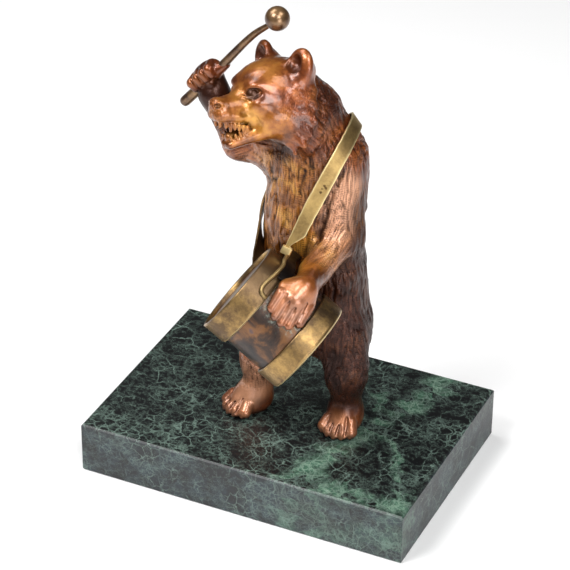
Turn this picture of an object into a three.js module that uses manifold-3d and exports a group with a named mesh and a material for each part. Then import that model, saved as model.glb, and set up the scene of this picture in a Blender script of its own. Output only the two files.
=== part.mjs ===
// A small bronze bear on a marble slab. It beats a drum that hangs from a brass strap over its shoulder.
// Units are millimetres, +Z is up. The origin is the centre of the slab's underside, and the bear looks along -Y.
import * as THREE from "three";
import { mergeVertices } from "three/addons/utils/BufferGeometryUtils.js";
import Module from "manifold-3d";

const wasm = await Module();
wasm.setup();

// Driving dimensions
const SLAB = { length: 150, width: 102, height: 24, bevel: 0.7 };
const FLOOR = SLAB.height;
const GAP = 0.3;
const DRUM = { centre: [7.2, -33, 92], axis: [-0.803, -0.074, 0.591], shell: 19.4, length: 39, recess: 1.8 };
const HOOP = { inner: 19.7, outer: 21, upper: 10.8, lower: 9.8, ease: 0.35 };
const STRAP = { width: 6.4, tip: 4.6, thick: 0.9, clear: 0.5, over: [[20.7, -6.9, 152.4], [22.9, 0.5, 161],
  [20.5, 13, 163], [9, 22, 150], [-3, 22, 138], [-11.5, 13, 129]] };
const STICK = { ball: 5.2, grip: [-41.7, 5, 171.3] };
const SKULL = { at: [-4.6, -6, 176], turn: 33, raise: 15, tilt: 16 };
const FUR = { depth: 0.75, size: 4.4, reach: 7 };
const GRID = 1.2;
const BEAR_TRIANGLES = 6350;

// Vectors are plain arrays
const add = (a, b, t = 1) => [a[0] + b[0] * t, a[1] + b[1] * t, a[2] + b[2] * t];
const sub = (a, b) => [a[0] - b[0], a[1] - b[1], a[2] - b[2]];
const dot = (a, b) => a[0] * b[0] + a[1] * b[1] + a[2] * b[2];
const cross = (a, b) => [a[1] * b[2] - a[2] * b[1], a[2] * b[0] - a[0] * b[2], a[0] * b[1] - a[1] * b[0]];
const scale = (a, t) => a.map((x) => x * t);
const unit = (a) => scale(a, 1 / (Math.hypot(...a) || 1));
const radians = THREE.MathUtils.degToRad;

// A frame is an origin and three axes. place() turns its own coordinates into the figure's.
const WORLD = { at: [0, 0, 0], x: [1, 0, 0], y: [0, 1, 0], z: [0, 0, 1] };
const place = (f, p) => add(add(add(f.at, f.x, p[0]), f.y, p[1]), f.z, p[2]);
const local = (f, p) => {
  const d = sub(p, f.at);
  return [dot(d, f.x), dot(d, f.y), dot(d, f.z)];
};

// Forms are distances: a function of a point that is negative inside.
// An egg is an ellipsoid on a frame's axes.
function egg(centre, radii, frame = WORLD) {
  const [cx, cy, cz] = centre, [a, b, c] = radii;
  const { x, y, z } = frame;
  const reach = Math.max(a, b, c) + 14;
  return (p) => {
    const dx = p[0] - cx, dy = p[1] - cy, dz = p[2] - cz;
    const away = Math.sqrt(dx * dx + dy * dy + dz * dz);
    if (away > reach) return away - reach + 14;
    const u = (dx * x[0] + dy * x[1] + dz * x[2]) / a;
    const v = (dx * y[0] + dy * y[1] + dz * y[2]) / b;
    const w = (dx * z[0] + dy * z[1] + dz * z[2]) / c;
    const k = Math.sqrt(u * u + v * v + w * w);
    const g = Math.sqrt((u * u) / (a * a) + (v * v) / (b * b) + (w * w) / (c * c)) + 1e-9;
    return (k * (k - 1)) / g;
  };
}

// A bone is a capsule whose radius changes from one end to the other.
function bone(a, b, ra, rb) {
  const [ax, ay, az] = a, [bx, by, bz] = sub(b, a);
  const ll = bx * bx + by * by + bz * bz;
  return (p) => {
    const x = p[0] - ax, y = p[1] - ay, z = p[2] - az;
    const t = Math.min(1, Math.max(0, (x * bx + y * by + z * bz) / ll));
    const ex = x - bx * t, ey = y - by * t, ez = z - bz * t;
    return Math.sqrt(ex * ex + ey * ey + ez * ez) - ra - (rb - ra) * t;
  };
}

// Joins two distances with a soft fillet of size k. Carving is the same on the reversed sign.
function fillet(a, b, k) {
  const h = Math.max(k - Math.abs(a - b), 0) / k;
  return Math.min(a, b) - (h * h * k) / 4;
}
const carve = (d, tool, k) => -fillet(-d, tool, k);
function blend(forms, p) {
  let d = 1e3;
  for (let i = 0; i < forms.length; i++) d = fillet(d, forms[i][0](p), forms[i][1]);
  return d;
}

// Landmarks of the pose
const B = {
  rump: [9, 9, 73], belly: [8.5, 5, 96], chest: [6.5, 4.5, 124], withers: [7.5, 8, 148], neck: [4, 3.5, 167],
  shoulderL: [17.5, 6, 149], elbowL: [23, 1, 118], wristL: [20, -21.5, 110.5],
  shoulderR: [-8, 5, 149], elbowR: [-26, 6, 146.5], wristR: [-37, 5.5, 168],
  hipL: [23, 5, 68], kneeL: [27, -1, 50], ankleL: [27.5, 0, 33],
  hipR: [-6, 3, 70], kneeR: [-11.5, -5, 50], ankleR: [-13, -6, 33],
};

// The head's frame: x runs to the nose, y to the bear's left, z to the crown.
function headFrame() {
  const [turn, raise, tilt] = [SKULL.turn, SKULL.raise, SKULL.tilt].map(radians);
  const ahead = [-Math.sin(turn), -Math.cos(turn), 0];
  const side = [Math.cos(turn), -Math.sin(turn), 0];
  const x = add(scale(ahead, Math.cos(raise)), [0, 0, Math.sin(raise)]);
  const up = add([0, 0, Math.cos(raise)], ahead, -Math.sin(raise));
  const y = add(scale(side, Math.cos(tilt)), up, Math.sin(tilt));
  return { at: SKULL.at, x, y, z: cross(x, y) };
}
const HEAD = headFrame();

// The drum's frame: z runs along its axis to the raised skin. onDrum() takes the distance along the axis,
// the angle round it from the side that faces forward, and the distance out from it.
const DRUM_AXIS = unit(DRUM.axis);
const DRUM_FRONT = unit(add([0, -1, 0], DRUM_AXIS, DRUM_AXIS[1]));
const BARREL = { at: DRUM.centre, x: DRUM_FRONT, y: cross(DRUM_AXIS, DRUM_FRONT), z: DRUM_AXIS };
const onDrum = (along, turn, out) =>
  place(BARREL, [Math.cos(radians(turn)) * out, Math.sin(radians(turn)) * out, along]);
const offDrum = (turn) => sub(onDrum(0, turn, 1), DRUM.centre);

// Head: skull, brows, cheeks with the ruff, muzzle, jaw, open mouth, eyes, nostrils, ears and fangs.
// It is worked out on one side and mirrored in the head's frame.
function headForm() {
  const grow = [
    [egg([-1, 0, 3.4], [17.5, 15.6, 15]), 1], [egg([8.5, 0, 5], [9.5, 10.5, 9]), 7],
    [egg([3, 8.5, -6], [10.5, 7.5, 9]), 6], [egg([-6.5, 10, -6], [8.5, 9, 14]), 4],
    [bone([11, 0, -2], [25.5, 0, -3], 8.8, 5.5), 4], [egg([28.6, 0, -1.2], [3.4, 4.3, 3.5]), 2],
    [bone([4, 2.5, -13], [20, 1.2, -14.8], 5.6, 3.4), 4], [egg([13.6, 5.6, 7.2], [4, 3.4, 2.2]), 3],
  ];
  const lips = bone([14, 0, -9.8], [31, 0, -10.4], 0.7, 2.9);
  const palate = egg([19, 0, -10.4], [8, 3.4, 3.6]);
  const socket = egg([17.4, 7.8, 3.6], [2.6, 2.4, 1.8]);
  const eye = egg([15.4, 6.7, 3.6], [2, 2, 1.9]);
  const nostril = egg([31.6, 2, -1.4], [1.3, 1.1, 1]);
  const facing = unit([0.93, 0.3, -0.05]);
  const tall = unit(add([-0.1, 0.3, 0.94], facing, -dot([-0.1, 0.3, 0.94], facing)));
  const earFrame = { at: [-1.5, 12.4, 15.4], x: facing, y: cross(tall, facing), z: tall };
  const ear = egg(earFrame.at, [3.4, 6.4, 8.4], earFrame);
  const cup = egg(place(earFrame, [2.7, 0, 1]), [2.6, 4, 5.6], earFrame);
  const fangs = [bone([24.6, 3.6, -7], [24.9, 3.5, -10.8], 1.2, 0.5), bone([22.4, 2.6, -12.6], [22.8, 2.7, -9.4], 1.1, 0.45)];
  return (p) => {
    const q = local(HEAD, p);
    q[1] = Math.abs(q[1]);
    if (Math.hypot(...q) > 52) return Math.hypot(...q) - 40;
    let d = blend(grow, q);
    d = carve(d, Math.max(lips([q[0], 0, q[2]]), q[1] - 10), 1.2);
    d = carve(d, palate(q), 1);
    d = carve(d, socket(q), 1.5);
    d = fillet(d, eye(q), 0.6);
    d = carve(d, nostril(q), 0.6);
    d = fillet(d, carve(ear(q), cup(q), 1.2), 5);
    for (const fang of fangs) d = fillet(d, fang(q), 0.8);
    return d;
  };
}

// Trunk, neck and the short tail
const trunk = [
  [egg(B.rump, [21.6, 19, 22]), 8], [egg(B.belly, [22.8, 18, 30]), 10], [egg(B.chest, [19.5, 17.5, 28]), 10],
  [egg(B.withers, [19, 16, 18]), 9], [bone(B.withers, B.neck, 16, 15.5), 9], [egg([8, 28.5, 64], [4, 4.5, 5.5]), 6],
];

// A hind leg: thigh, shin and a flat foot with five toes and their claws
function hindLeg(hip, knee, ankle, yaw, out) {
  const a = radians(yaw);
  const ahead = [-Math.sin(a), -Math.cos(a), 0];
  const foot = { at: [ankle[0] + ahead[0] * 1.8, ankle[1] + ahead[1] * 1.8, FLOOR], x: ahead,
    y: [Math.cos(a), -Math.sin(a), 0], z: [0, 0, 1] };
  const at = (...p) => place(foot, p);
  const forms = [
    [bone(hip, knee, 11.5, 9.2), 7], [bone(knee, ankle, 8.4, 6.8), 6], [bone(ankle, at(-5, 0, 5), 6.8, 6), 4],
    [egg(at(2, out, 4.2), [14, 8.8, 7.2], foot), 4],
  ];
  for (let i = -2; i <= 2; i++) {
    const tip = 14.4 - 0.6 * i * i;
    forms.push([bone(at(3, out + i * 2.9, 6.6), at(tip - 2.4, out + i * 3.7, 3.2), 2.6, 2.4), 0.7]);
    forms.push([bone(at(tip - 1.6, out + i * 3.75, 4.4), at(tip + 1.2, out + i * 3.9, 2), 1, 0.5), 0.5]);
  }
  return forms;
}

// The stick's frame at the grip: x along the stick, z to the side that the fingers close over
const GRIP = { at: STICK.grip, x: unit([0.679, 0, 0.734]), z: unit([-0.101, -0.99, 0.094]) };
GRIP.y = cross(GRIP.x, GRIP.z);

// The raised arm and its fist
function raisedArm() {
  const at = (...p) => place(GRIP, p);
  const forms = [
    [bone(B.shoulderR, B.elbowR, 10, 7.6), 8], [bone(B.elbowR, B.wristR, 7.2, 6.4), 5],
    [bone(B.wristR, at(0.5, -3.4, -3), 6, 5), 4], [egg(at(0, -4.2, -1.2), [6.4, 4.2, 4.6], GRIP), 3],
  ];
  for (let i = 0; i < 4; i++) {
    const x = -5.1 + 3.4 * i;
    forms.push([bone(at(x, -6.6, 0.6), at(x, -4.6, 3.4), 1.9, 1.9), 0.8]);
    forms.push([bone(at(x, -4.6, 3.4), at(x, -1.8, 3.2), 1.9, 1.5), 0.6]);
  }
  forms.push([bone(at(-3, 0.5, -4), at(1, 3.4, -1.5), 2.2, 1.9), 1.5]);
  return forms;
}

// The left arm, whose paw lies on the drum. Knuckles and fingertips are [along, turn] on the barrel.
function drumArm() {
  const knuckles = [[6.9, 58], [3.6, 57], [-0.1, 58], [-3.7, 61], [-7, 66]];
  const tips = [[4.6, 46], [1.4, 42], [-2, 41], [-4.9, 44], [-7.9, 53]];
  const palm = { x: DRUM_AXIS, y: offDrum(158), z: offDrum(68) };
  const forms = [
    [bone(B.shoulderL, B.elbowL, 10.5, 7.6), 8], [bone(B.elbowL, B.wristL, 7.4, 6.2), 6],
    [bone(B.wristL, onDrum(-0.2, 82, 25.6), 6, 5.4), 5],
    [bone(onDrum(-0.2, 82, 25.2), onDrum(-0.2, 68, 23.8), 5.4, 4.6), 4],
    [egg(onDrum(-0.2, 68, 23.4), [8.2, 7.4, 3.9], palm), 3],
  ];
  knuckles.forEach(([along, turn], i) => {
    const [a, t] = tips[i];
    forms.push([bone(onDrum(along * 0.9, turn + 3, 23.6), onDrum(a, t + 1, 22.6), 2.2, 1.7), 0.7]);
    forms.push([bone(onDrum(a, t + 2, 23.2), onDrum(a - 0.9, t - 3.5, 21.9), 0.9, 0.4), 0.5]);
  });
  return forms;
}

const GROUPS = [
  { forms: trunk, flow: () => [0, 0.12, -1], depth: 1 },
  { forms: hindLeg(B.hipL, B.kneeL, B.ankleL, -2, 0), flow: () => [0, 0.1, -1], depth: 1 },
  { forms: hindLeg(B.hipR, B.kneeR, B.ankleR, 27, -2.5), flow: () => [0, 0.1, -1], depth: 1 },
  { forms: raisedArm(), flow: (p) => (p[2] < 150 ? [-0.9, 0, -0.5] : [0.35, 0, -1]), depth: 0.8 },
  { forms: drumArm(), flow: (p) => (p[1] < -6 ? [-0.3, -0.9, -0.4] : [0.1, -0.25, -1]), depth: 0.9 },
  { forms: [[headForm(), 5]], flow: (p) => add(scale(HEAD.x, -1), [0, 0, -0.5]), depth: 1 },
];
const allForms = GROUPS.flatMap((g) => g.forms);
const bearField = (p) => blend(allForms, p);
const bodyForms = [...trunk, [bone(B.shoulderL, B.elbowL, 10.5, 7.6), 8]];
const bodyField = (p) => blend(bodyForms, p);

function slope(field, p, e = 0.5) {
  const g = [0, 1, 2].map((i) => {
    const hi = p.slice(), lo = p.slice();
    hi[i] += e;
    lo[i] -= e;
    return field(hi) - field(lo);
  });
  return unit(g);
}

// Fur: smooth noise averaged along the way the hair lies, which draws it out into locks
function hash(i, j, k) {
  const s = Math.sin(i * 127.1 + j * 311.7 + k * 74.7) * 43758.5453;
  return s - Math.floor(s);
}
function noise(p) {
  const c = p.map(Math.floor);
  const f = p.map((x, i) => x - c[i]).map((t) => t * t * (3 - 2 * t));
  let sum = 0;
  for (let n = 0; n < 8; n++) {
    const [i, j, k] = [n & 1, (n >> 1) & 1, n >> 2];
    const w = (i ? f[0] : 1 - f[0]) * (j ? f[1] : 1 - f[1]) * (k ? f[2] : 1 - f[2]);
    sum += w * hash(c[0] + i, c[1] + j, c[2] + k);
  }
  return sum;
}

// The way the fur lies at a point, and how deep it is: paws, soles and the face are smoother.
function lay(p) {
  let dir = [0, 0, 0], depth = 0, total = 0;
  for (const g of GROUPS) {
    const w = Math.exp(-Math.max(blend(g.forms, p), 0) / 2.5) + 1e-6;
    dir = add(dir, unit(g.flow(p)), w);
    depth += g.depth * w;
    total += w;
  }
  const face = local(HEAD, p);
  const smooth = [
    Math.min(1, Math.max(0.12, (2 - face[0]) / 8 + (Math.hypot(...face) > 30 ? 1 : 0))),
    Math.min(1, Math.max(0.15, (p[2] - FLOOR - 12) / 8)),
    Math.min(1, Math.max(0.1, (Math.hypot(...sub(p, onDrum(-0.5, 62, 22))) - 10) / 8)),
    Math.min(1, Math.max(0.1, (Math.hypot(...sub(p, place(GRIP, [0, -4, 1]))) - 8) / 6)),
  ];
  return { dir: unit(dir), depth: (depth / total) * Math.min(...smooth) };
}
function furHeight(p) {
  const { dir, depth } = lay(p);
  let sum = 0;
  const steps = 7;
  for (let i = 0; i < steps; i++) {
    const s = (i / (steps - 1) - 0.5) * 2 * FUR.reach;
    sum += noise(add(p, dir, s).map((x) => x / FUR.size));
  }
  const n = sum / steps - 0.5;
  return FUR.depth * depth * (Math.min(1, Math.abs(n) * 9) - 0.6);
}

// Marching tetrahedra: each cell of the grid is cut into six, and each of those gives at most two triangles.
function surface(field, low, high, step) {
  const n = [0, 1, 2].map((i) => Math.ceil((high[i] - low[i]) / step) + 1);
  const at = (i, j, k) => (k * n[1] + j) * n[0] + i;
  const values = new Float64Array(n[0] * n[1] * n[2]);
  const seen = new Map();
  const coarse = (m) => {
    const key = m.join();
    if (!seen.has(key)) seen.set(key, field(m.map((x, i) => low[i] + x * step)));
    return seen.get(key);
  };
  const block = 8, far = block * step * 0.87 * 1.4;
  const spot = (i, j, k) => [low[0] + i * step, low[1] + j * step, low[2] + k * step];
  for (let k = 0; k < n[2]; k++)
    for (let j = 0; j < n[1]; j++)
      for (let i = 0; i < n[0]; i += block) {
        const middle = [i, j - (j % block), k - (k % block)].map((x) => x + (block - 1) / 2);
        const v = coarse(middle);
        for (let m = i; m < Math.min(i + block, n[0]); m++) {
          const w = Math.abs(v) > far ? v : field(spot(m, j, k));
          values[at(m, j, k)] = Math.abs(w) < 1e-4 ? 1e-4 : w;
        }
      }
  const points = [], triangles = [], known = new Map();
  const where = (id) => [id % n[0], Math.floor(id / n[0]) % n[1], Math.floor(id / (n[0] * n[1]))];
  function crossing(a, b) {
    const key = a < b ? a * values.length + b : b * values.length + a;
    let id = known.get(key);
    if (id === undefined) {
      const t = Math.min(0.94, Math.max(0.06, values[a] / (values[a] - values[b])));
      const p = where(a), q = where(b);
      id = points.push([0, 1, 2].map((i) => low[i] + (p[i] + (q[i] - p[i]) * t) * step)) - 1;
      known.set(key, id);
    }
    return id;
  }
  const tets = [[0, 1, 3, 7], [0, 3, 2, 7], [0, 2, 6, 7], [0, 6, 4, 7], [0, 4, 5, 7], [0, 5, 1, 7]];
  for (let k = 0; k < n[2] - 1; k++)
    for (let j = 0; j < n[1] - 1; j++)
      for (let i = 0; i < n[0] - 1; i++) {
        const c = [0, 1, 2, 3, 4, 5, 6, 7].map((m) => at(i + (m & 1), j + ((m >> 1) & 1), k + (m >> 2)));
        const inside = c.filter((id) => values[id] < 0).length;
        if (inside === 0 || inside === 8) continue;
        for (const tet of tets) {
          const v = tet.map((m) => c[m]);
          const ins = v.filter((id) => values[id] < 0), outs = v.filter((id) => values[id] >= 0);
          if (!ins.length || !outs.length) continue;
          const odd = (a, b) => {
            let swaps = 0;
            const order = [...a, ...b].map((id) => v.indexOf(id));
            for (let x = 0; x < 4; x++) for (let y = x + 1; y < 4; y++) if (order[x] > order[y]) swaps++;
            return swaps % 2 === 1;
          };
          const flip = odd(ins, outs);
          const push = (a, b, d) => triangles.push(flip ? [a, d, b] : [a, b, d]);
          if (ins.length === 1) push(...outs.map((o) => crossing(ins[0], o)));
          else if (ins.length === 3) push(...ins.map((s) => crossing(s, outs[0])));
          else {
            const [a, b] = ins, [x, y] = outs;
            push(crossing(a, x), crossing(a, y), crossing(b, y));
            push(crossing(a, x), crossing(b, y), crossing(b, x));
          }
        }
      }
  return { points, triangles };
}

const volume = ({ points, triangles }) =>
  triangles.reduce((v, [a, b, c]) => v + dot(points[a], cross(points[b], points[c])) / 6, 0);

// Keeps the largest connected body of a mesh and turns it so that its faces point outwards.
function largest({ points, triangles }) {
  const parent = points.map((_, i) => i);
  const root = (i) => {
    while (parent[i] !== i) i = parent[i] = parent[parent[i]];
    return i;
  };
  for (const [a, b, c] of triangles) {
    parent[root(a)] = root(b);
    parent[root(b)] = root(c);
  }
  const bodies = new Map();
  for (const t of triangles) {
    const r = root(t[0]);
    if (!bodies.has(r)) bodies.set(r, []);
    bodies.get(r).push(t);
  }
  const best = [...bodies.values()].reduce((a, b) =>
    Math.abs(volume({ points, triangles: a })) > Math.abs(volume({ points, triangles: b })) ? a : b);
  const out = volume({ points, triangles: best }) < 0 ? best.map(([a, b, c]) => [a, c, b]) : best;
  const used = new Map();
  const renumbered = out.map((t) => t.map((i) => {
    if (!used.has(i)) used.set(i, used.size);
    return used.get(i);
  }));
  return { points: [...used.keys()].map((i) => points[i]), triangles: renumbered };
}

// Edge collapse by quadric error: the edge whose loss moves the surface least goes first.
function simplify(mesh, target) {
  const P = mesh.points.map((p) => p.slice());
  const T = mesh.triangles.map((t) => t.slice());
  const Q = P.map(() => new Float64Array(10));
  const around = P.map(() => new Set());
  const plane = (a, b, c) => {
    const n = cross(sub(P[b], P[a]), sub(P[c], P[a]));
    const len = Math.hypot(...n);
    return [n.map((x) => x / (len || 1)), len / 2];
  };
  T.forEach(([a, b, c], t) => {
    const [n, area] = plane(a, b, c);
    const d = -dot(n, P[a]);
    const q = [n[0] * n[0], n[0] * n[1], n[0] * n[2], n[0] * d, n[1] * n[1], n[1] * n[2], n[1] * d,
      n[2] * n[2], n[2] * d, d * d];
    for (const v of [a, b, c]) {
      q.forEach((x, i) => (Q[v][i] += x * area));
      around[v].add(t);
    }
  });
  const error = (q, [x, y, z]) => q[0] * x * x + 2 * q[1] * x * y + 2 * q[2] * x * z + 2 * q[3] * x
    + q[4] * y * y + 2 * q[5] * y * z + 2 * q[6] * y + q[7] * z * z + 2 * q[8] * z + q[9];
  function best(a, b) {
    const q = Q[a].map((x, i) => x + Q[b][i]);
    const [m, n, o, r, s, u] = [q[0], q[1], q[2], q[4], q[5], q[7]];
    const det = m * (r * u - s * s) - n * (n * u - s * o) + o * (n * s - r * o);
    const mid = scale(add(P[a], P[b]), 0.5);
    const reach = Math.hypot(...sub(P[a], P[b]));
    const options = [P[a], P[b], mid];
    if (Math.abs(det) > 1e-6) {
      const g = [-q[3], -q[6], -q[8]];
      const p = [
        (g[0] * (r * u - s * s) - n * (g[1] * u - s * g[2]) + o * (g[1] * s - r * g[2])) / det,
        (m * (g[1] * u - s * g[2]) - g[0] * (n * u - s * o) + o * (n * g[2] - g[1] * o)) / det,
        (m * (r * g[2] - g[1] * s) - n * (n * g[2] - g[1] * o) + g[0] * (n * s - r * o)) / det,
      ];
      if (Math.hypot(...sub(p, mid)) < reach * 1.5) options.unshift(p);
    }
    const costs = options.map((p) => error(q, p) + 1e-5 * reach * reach);
    const i = costs.indexOf(Math.min(...costs));
    return [costs[i], options[i]];
  }
  // A binary heap of edges with their cost. Old entries are told by their stamps.
  const stamp = new Int32Array(P.length), heap = [];
  const swap = (i, j) => ([heap[i], heap[j]] = [heap[j], heap[i]]);
  function put(item) {
    let i = heap.push(item) - 1;
    while (i > 0 && heap[(i - 1) >> 1][0] > heap[i][0]) {
      swap(i, (i - 1) >> 1);
      i = (i - 1) >> 1;
    }
  }
  function take() {
    const top = heap[0], last = heap.pop();
    if (heap.length) {
      heap[0] = last;
      for (let i = 0; ;) {
        let m = i;
        for (const c of [2 * i + 1, 2 * i + 2]) if (c < heap.length && heap[c][0] < heap[m][0]) m = c;
        if (m === i) break;
        swap(i, m);
        i = m;
      }
    }
    return top;
  }
  const queue = (a, b) => {
    const [cost, p] = best(a, b);
    put([cost, a, b, stamp[a] + stamp[b], p]);
  };
  const near = (v) => {
    const s = new Set();
    for (const t of around[v]) for (const w of T[t]) if (w !== v) s.add(w);
    return s;
  };
  P.forEach((_, a) => {
    for (const b of near(a)) if (a < b) queue(a, b);
  });
  let count = T.length;
  while (count > target && heap.length) {
    const [, a, b, mark, p] = take();
    if (!around[a].size || !around[b].size || stamp[a] + stamp[b] !== mark) continue;
    const shared = [...around[a]].filter((t) => around[b].has(t));
    if (shared.length !== 2) continue;
    const nb = near(b);
    if ([...near(a)].filter((v) => nb.has(v)).length !== 2) continue;
    const flips = [a, b].some((v) => [...around[v]].some((t) => {
      if (shared.includes(t)) return false;
      const [n0] = plane(...T[t]);
      const old = P[v];
      P[v] = p;
      const [n1, area] = plane(...T[t]);
      P[v] = old;
      return dot(n0, n1) < 0.25 || area < 1e-3;
    }));
    if (flips) continue;
    P[a] = p;
    Q[b].forEach((x, i) => (Q[a][i] += x));
    for (const t of shared) {
      for (const v of T[t]) around[v].delete(t);
      T[t] = null;
      count--;
    }
    for (const t of around[b]) {
      T[t][T[t].indexOf(b)] = a;
      around[a].add(t);
    }
    around[b] = new Set();
    stamp[a] += 1e6 + 1;
    for (const v of near(a)) queue(Math.min(a, v), Math.max(a, v));
  }
  return largest({ points: P, triangles: T.filter(Boolean) });
}

// From a bare mesh, or a geometry, to a solid and back
function toSolid({ points, triangles }) {
  return new wasm.Manifold(new wasm.Mesh({ numProp: 3, vertProperties: new Float32Array(points.flat()),
    triVerts: new Uint32Array(triangles.flat()) }));
}
function bare(geometry) {
  const g = geometry.index ? geometry.toNonIndexed() : geometry.clone();
  for (const name of Object.keys(g.attributes)) if (name !== "position") g.deleteAttribute(name);
  const merged = mergeVertices(g, 1e-4);
  const xyz = merged.attributes.position, index = merged.index.array;
  const points = [], triangles = [];
  for (let i = 0; i < xyz.count; i++) points.push([xyz.getX(i), xyz.getY(i), xyz.getZ(i)]);
  for (let i = 0; i < index.length; i += 3) {
    const t = [index[i], index[i + 1], index[i + 2]];
    if (new Set(t).size === 3) triangles.push(t);
  }
  return largest({ points, triangles });
}
function fromSolid(solid) {
  const { vertProperties, triVerts } = solid.getMesh();
  const g = new THREE.BufferGeometry();
  g.setAttribute("position", new THREE.BufferAttribute(new Float32Array(vertProperties), 3));
  g.setIndex([...triVerts]);
  const kept = bare(g);
  const out = new THREE.BufferGeometry();
  out.setAttribute("position", new THREE.Float32BufferAttribute(kept.points.flat(), 3));
  out.setIndex(kept.triangles.flat());
  out.computeVertexNormals();
  return out;
}

// A skin over a row of loops, with a fan over each end
function skin(loops) {
  const m = loops[0].length;
  const points = loops.flat();
  const triangles = [];
  for (let r = 0; r < loops.length - 1; r++)
    for (let i = 0; i < m; i++) {
      const a = r * m + i, b = r * m + ((i + 1) % m);
      triangles.push([a, b, b + m], [a, b + m, a + m]);
    }
  for (let i = 1; i < m - 1; i++) {
    const last = (loops.length - 1) * m;
    triangles.push([0, i + 1, i], [last, last + i, last + i + 1]);
  }
  return largest({ points, triangles });
}

// Tangents of a row of points
const tangents = (row) => row.map((_, i) => unit(sub(row[Math.min(i + 1, row.length - 1)], row[Math.max(i - 1, 0)])));

// A flat band along a row of points. facing(i) is the way its flat side looks.
function band(row, facing, width, thick, grow = 0) {
  const run = tangents(row);
  const loops = row.map((p, i) => {
    const side = unit(cross(run[i], facing(i)));
    const face = unit(cross(side, run[i]));
    const w = width(i) / 2 + grow, t = thick / 2 + grow;
    return [[-w, -t], [w, -t], [w, t], [-w, t]].map(([a, b]) => add(add(p, side, a), face, b));
  });
  loops[0] = loops[0].map((p) => add(p, run[0], -grow));
  loops[row.length - 1] = loops[row.length - 1].map((p) => add(p, run[row.length - 1], grow));
  return skin(loops);
}

// A round rod along a row of points, each with its own radius
function rod(row, radius, sides, grow = 0) {
  const run = tangents(row);
  let side = unit(cross(run[0], Math.abs(run[0][2]) < 0.9 ? [0, 0, 1] : [1, 0, 0]));
  const loops = row.map((p, i) => {
    side = unit(add(side, run[i], -dot(side, run[i])));
    const other = cross(run[i], side);
    return Array.from({ length: sides }, (_, k) => {
      const a = (k / sides) * 2 * Math.PI, r = radius(i) + grow;
      return add(add(p, side, Math.cos(a) * r), other, Math.sin(a) * r);
    });
  });
  return skin(loops);
}

// Smooth row of points through a few given ones
function smoothRow(points, steps) {
  const curve = new THREE.CatmullRomCurve3(points.map((p) => new THREE.Vector3(...p)), false, "centripetal");
  return curve.getPoints(steps).map((v) => v.toArray());
}

// Turned pieces of the drum, from a profile of [radius, along]
function turned(profile, sides = 48) {
  const g = new THREE.LatheGeometry(profile.map(([r, z]) => new THREE.Vector2(r, z)), sides);
  g.rotateX(Math.PI / 2);
  const m = new THREE.Matrix4().makeBasis(...[BARREL.x, BARREL.y, BARREL.z].map((v) => new THREE.Vector3(...v)));
  g.applyMatrix4(m.setPosition(...DRUM.centre));
  return bare(g);
}
function drumBody(grow = 0) {
  const r = DRUM.shell + grow, h = DRUM.length / 2 - DRUM.recess + grow;
  return turned([[0, -h], [r, -h], [r, h], [0, h]]);
}
function hoop(low, high, grow = 0) {
  const { inner, outer, ease } = HOOP;
  const [a, b, z0, z1, e] = [inner - grow, outer + grow, low - grow, high + grow, ease];
  return turned([[a, z0], [b - e, z0], [b, z0 + e], [b, z1 - e], [b - e, z1], [a, z1], [a, z0]]);
}

// The stick bends a little, thins towards the ball and swells to a rounded butt.
const STICK_ROW = [[-52.7, 5, 158.6], STICK.grip, [-35.9, 5, 178.5], [-20.3, 5, 197.6], [-13.4, 5, 203.6], [-11.2, 5, 205.8]];
const STICK_RADII = [2.1, 2.1, 1.9, 1.4, 1.1, 1.1];
function stick(grow = 0) {
  const row = [], radii = [];
  STICK_ROW.slice(0, -1).forEach((p, i) => {
    for (let k = 0; k < 3; k++) {
      const t = k / 3;
      row.push(add(p, sub(STICK_ROW[i + 1], p), t));
      radii.push(STICK_RADII[i] + (STICK_RADII[i + 1] - STICK_RADII[i]) * t);
    }
  });
  row.push(STICK_ROW.at(-1));
  radii.push(STICK_RADII.at(-1));
  return toSolid(rod(row, (i) => radii[i] * (i === 0 && !grow ? 0.82 : 1), 12, grow));
}
function mallet() {
  const ball = new THREE.SphereGeometry(STICK.ball, 18, 12);
  ball.translate(-9.7, 5, 207.3);
  return stick().add(toSolid(bare(ball)));
}

// The strap's route: from the keeper up over the left shoulder, down across the back and free to the far rim
// of the drum. The guides that lie on the fur are pressed to the body first.
const KEEPER = onDrum(12.6, 116, 24.9);
const REAR = onDrum(15.6, 190, 22.6);
function press(p, away) {
  for (let i = 0; i < 6; i++) p = add(p, slope(bodyField, p), away - bodyField(p));
  return p;
}
const strapAway = STRAP.clear + STRAP.thick / 2 + FUR.depth;
const STRAP_ROW = smoothRow([
  KEEPER, [14.4, -15.6, 133.5], ...STRAP.over.map((p) => press(p, strapAway)), [-14.2, 1, 119], REAR,
], 44);
const STRAP_FACING = (() => {
  const raw = STRAP_ROW.map((p) => slope(bodyField, p, 2));
  const n = raw.length - 1;
  raw[n] = raw[n - 1] = offDrum(190);
  const near = (i) => raw[Math.min(n, Math.max(0, i))];
  const even = raw.map((_, i) => unit([-2, -1, 0, 1, 2].reduce((s, k) => add(s, near(i + k)), [0, 0, 0])));
  return even.map((face, i) => (i < 4 ? even[4] : face));
})();
const strapWidth = (i) => (i < 2 ? STRAP.tip : Math.min(STRAP.width, STRAP.tip + (i - 1) * 0.45));
const strap = (grow = 0) => band(STRAP_ROW, (i) => STRAP_FACING[i], strapWidth, STRAP.thick, grow);

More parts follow.
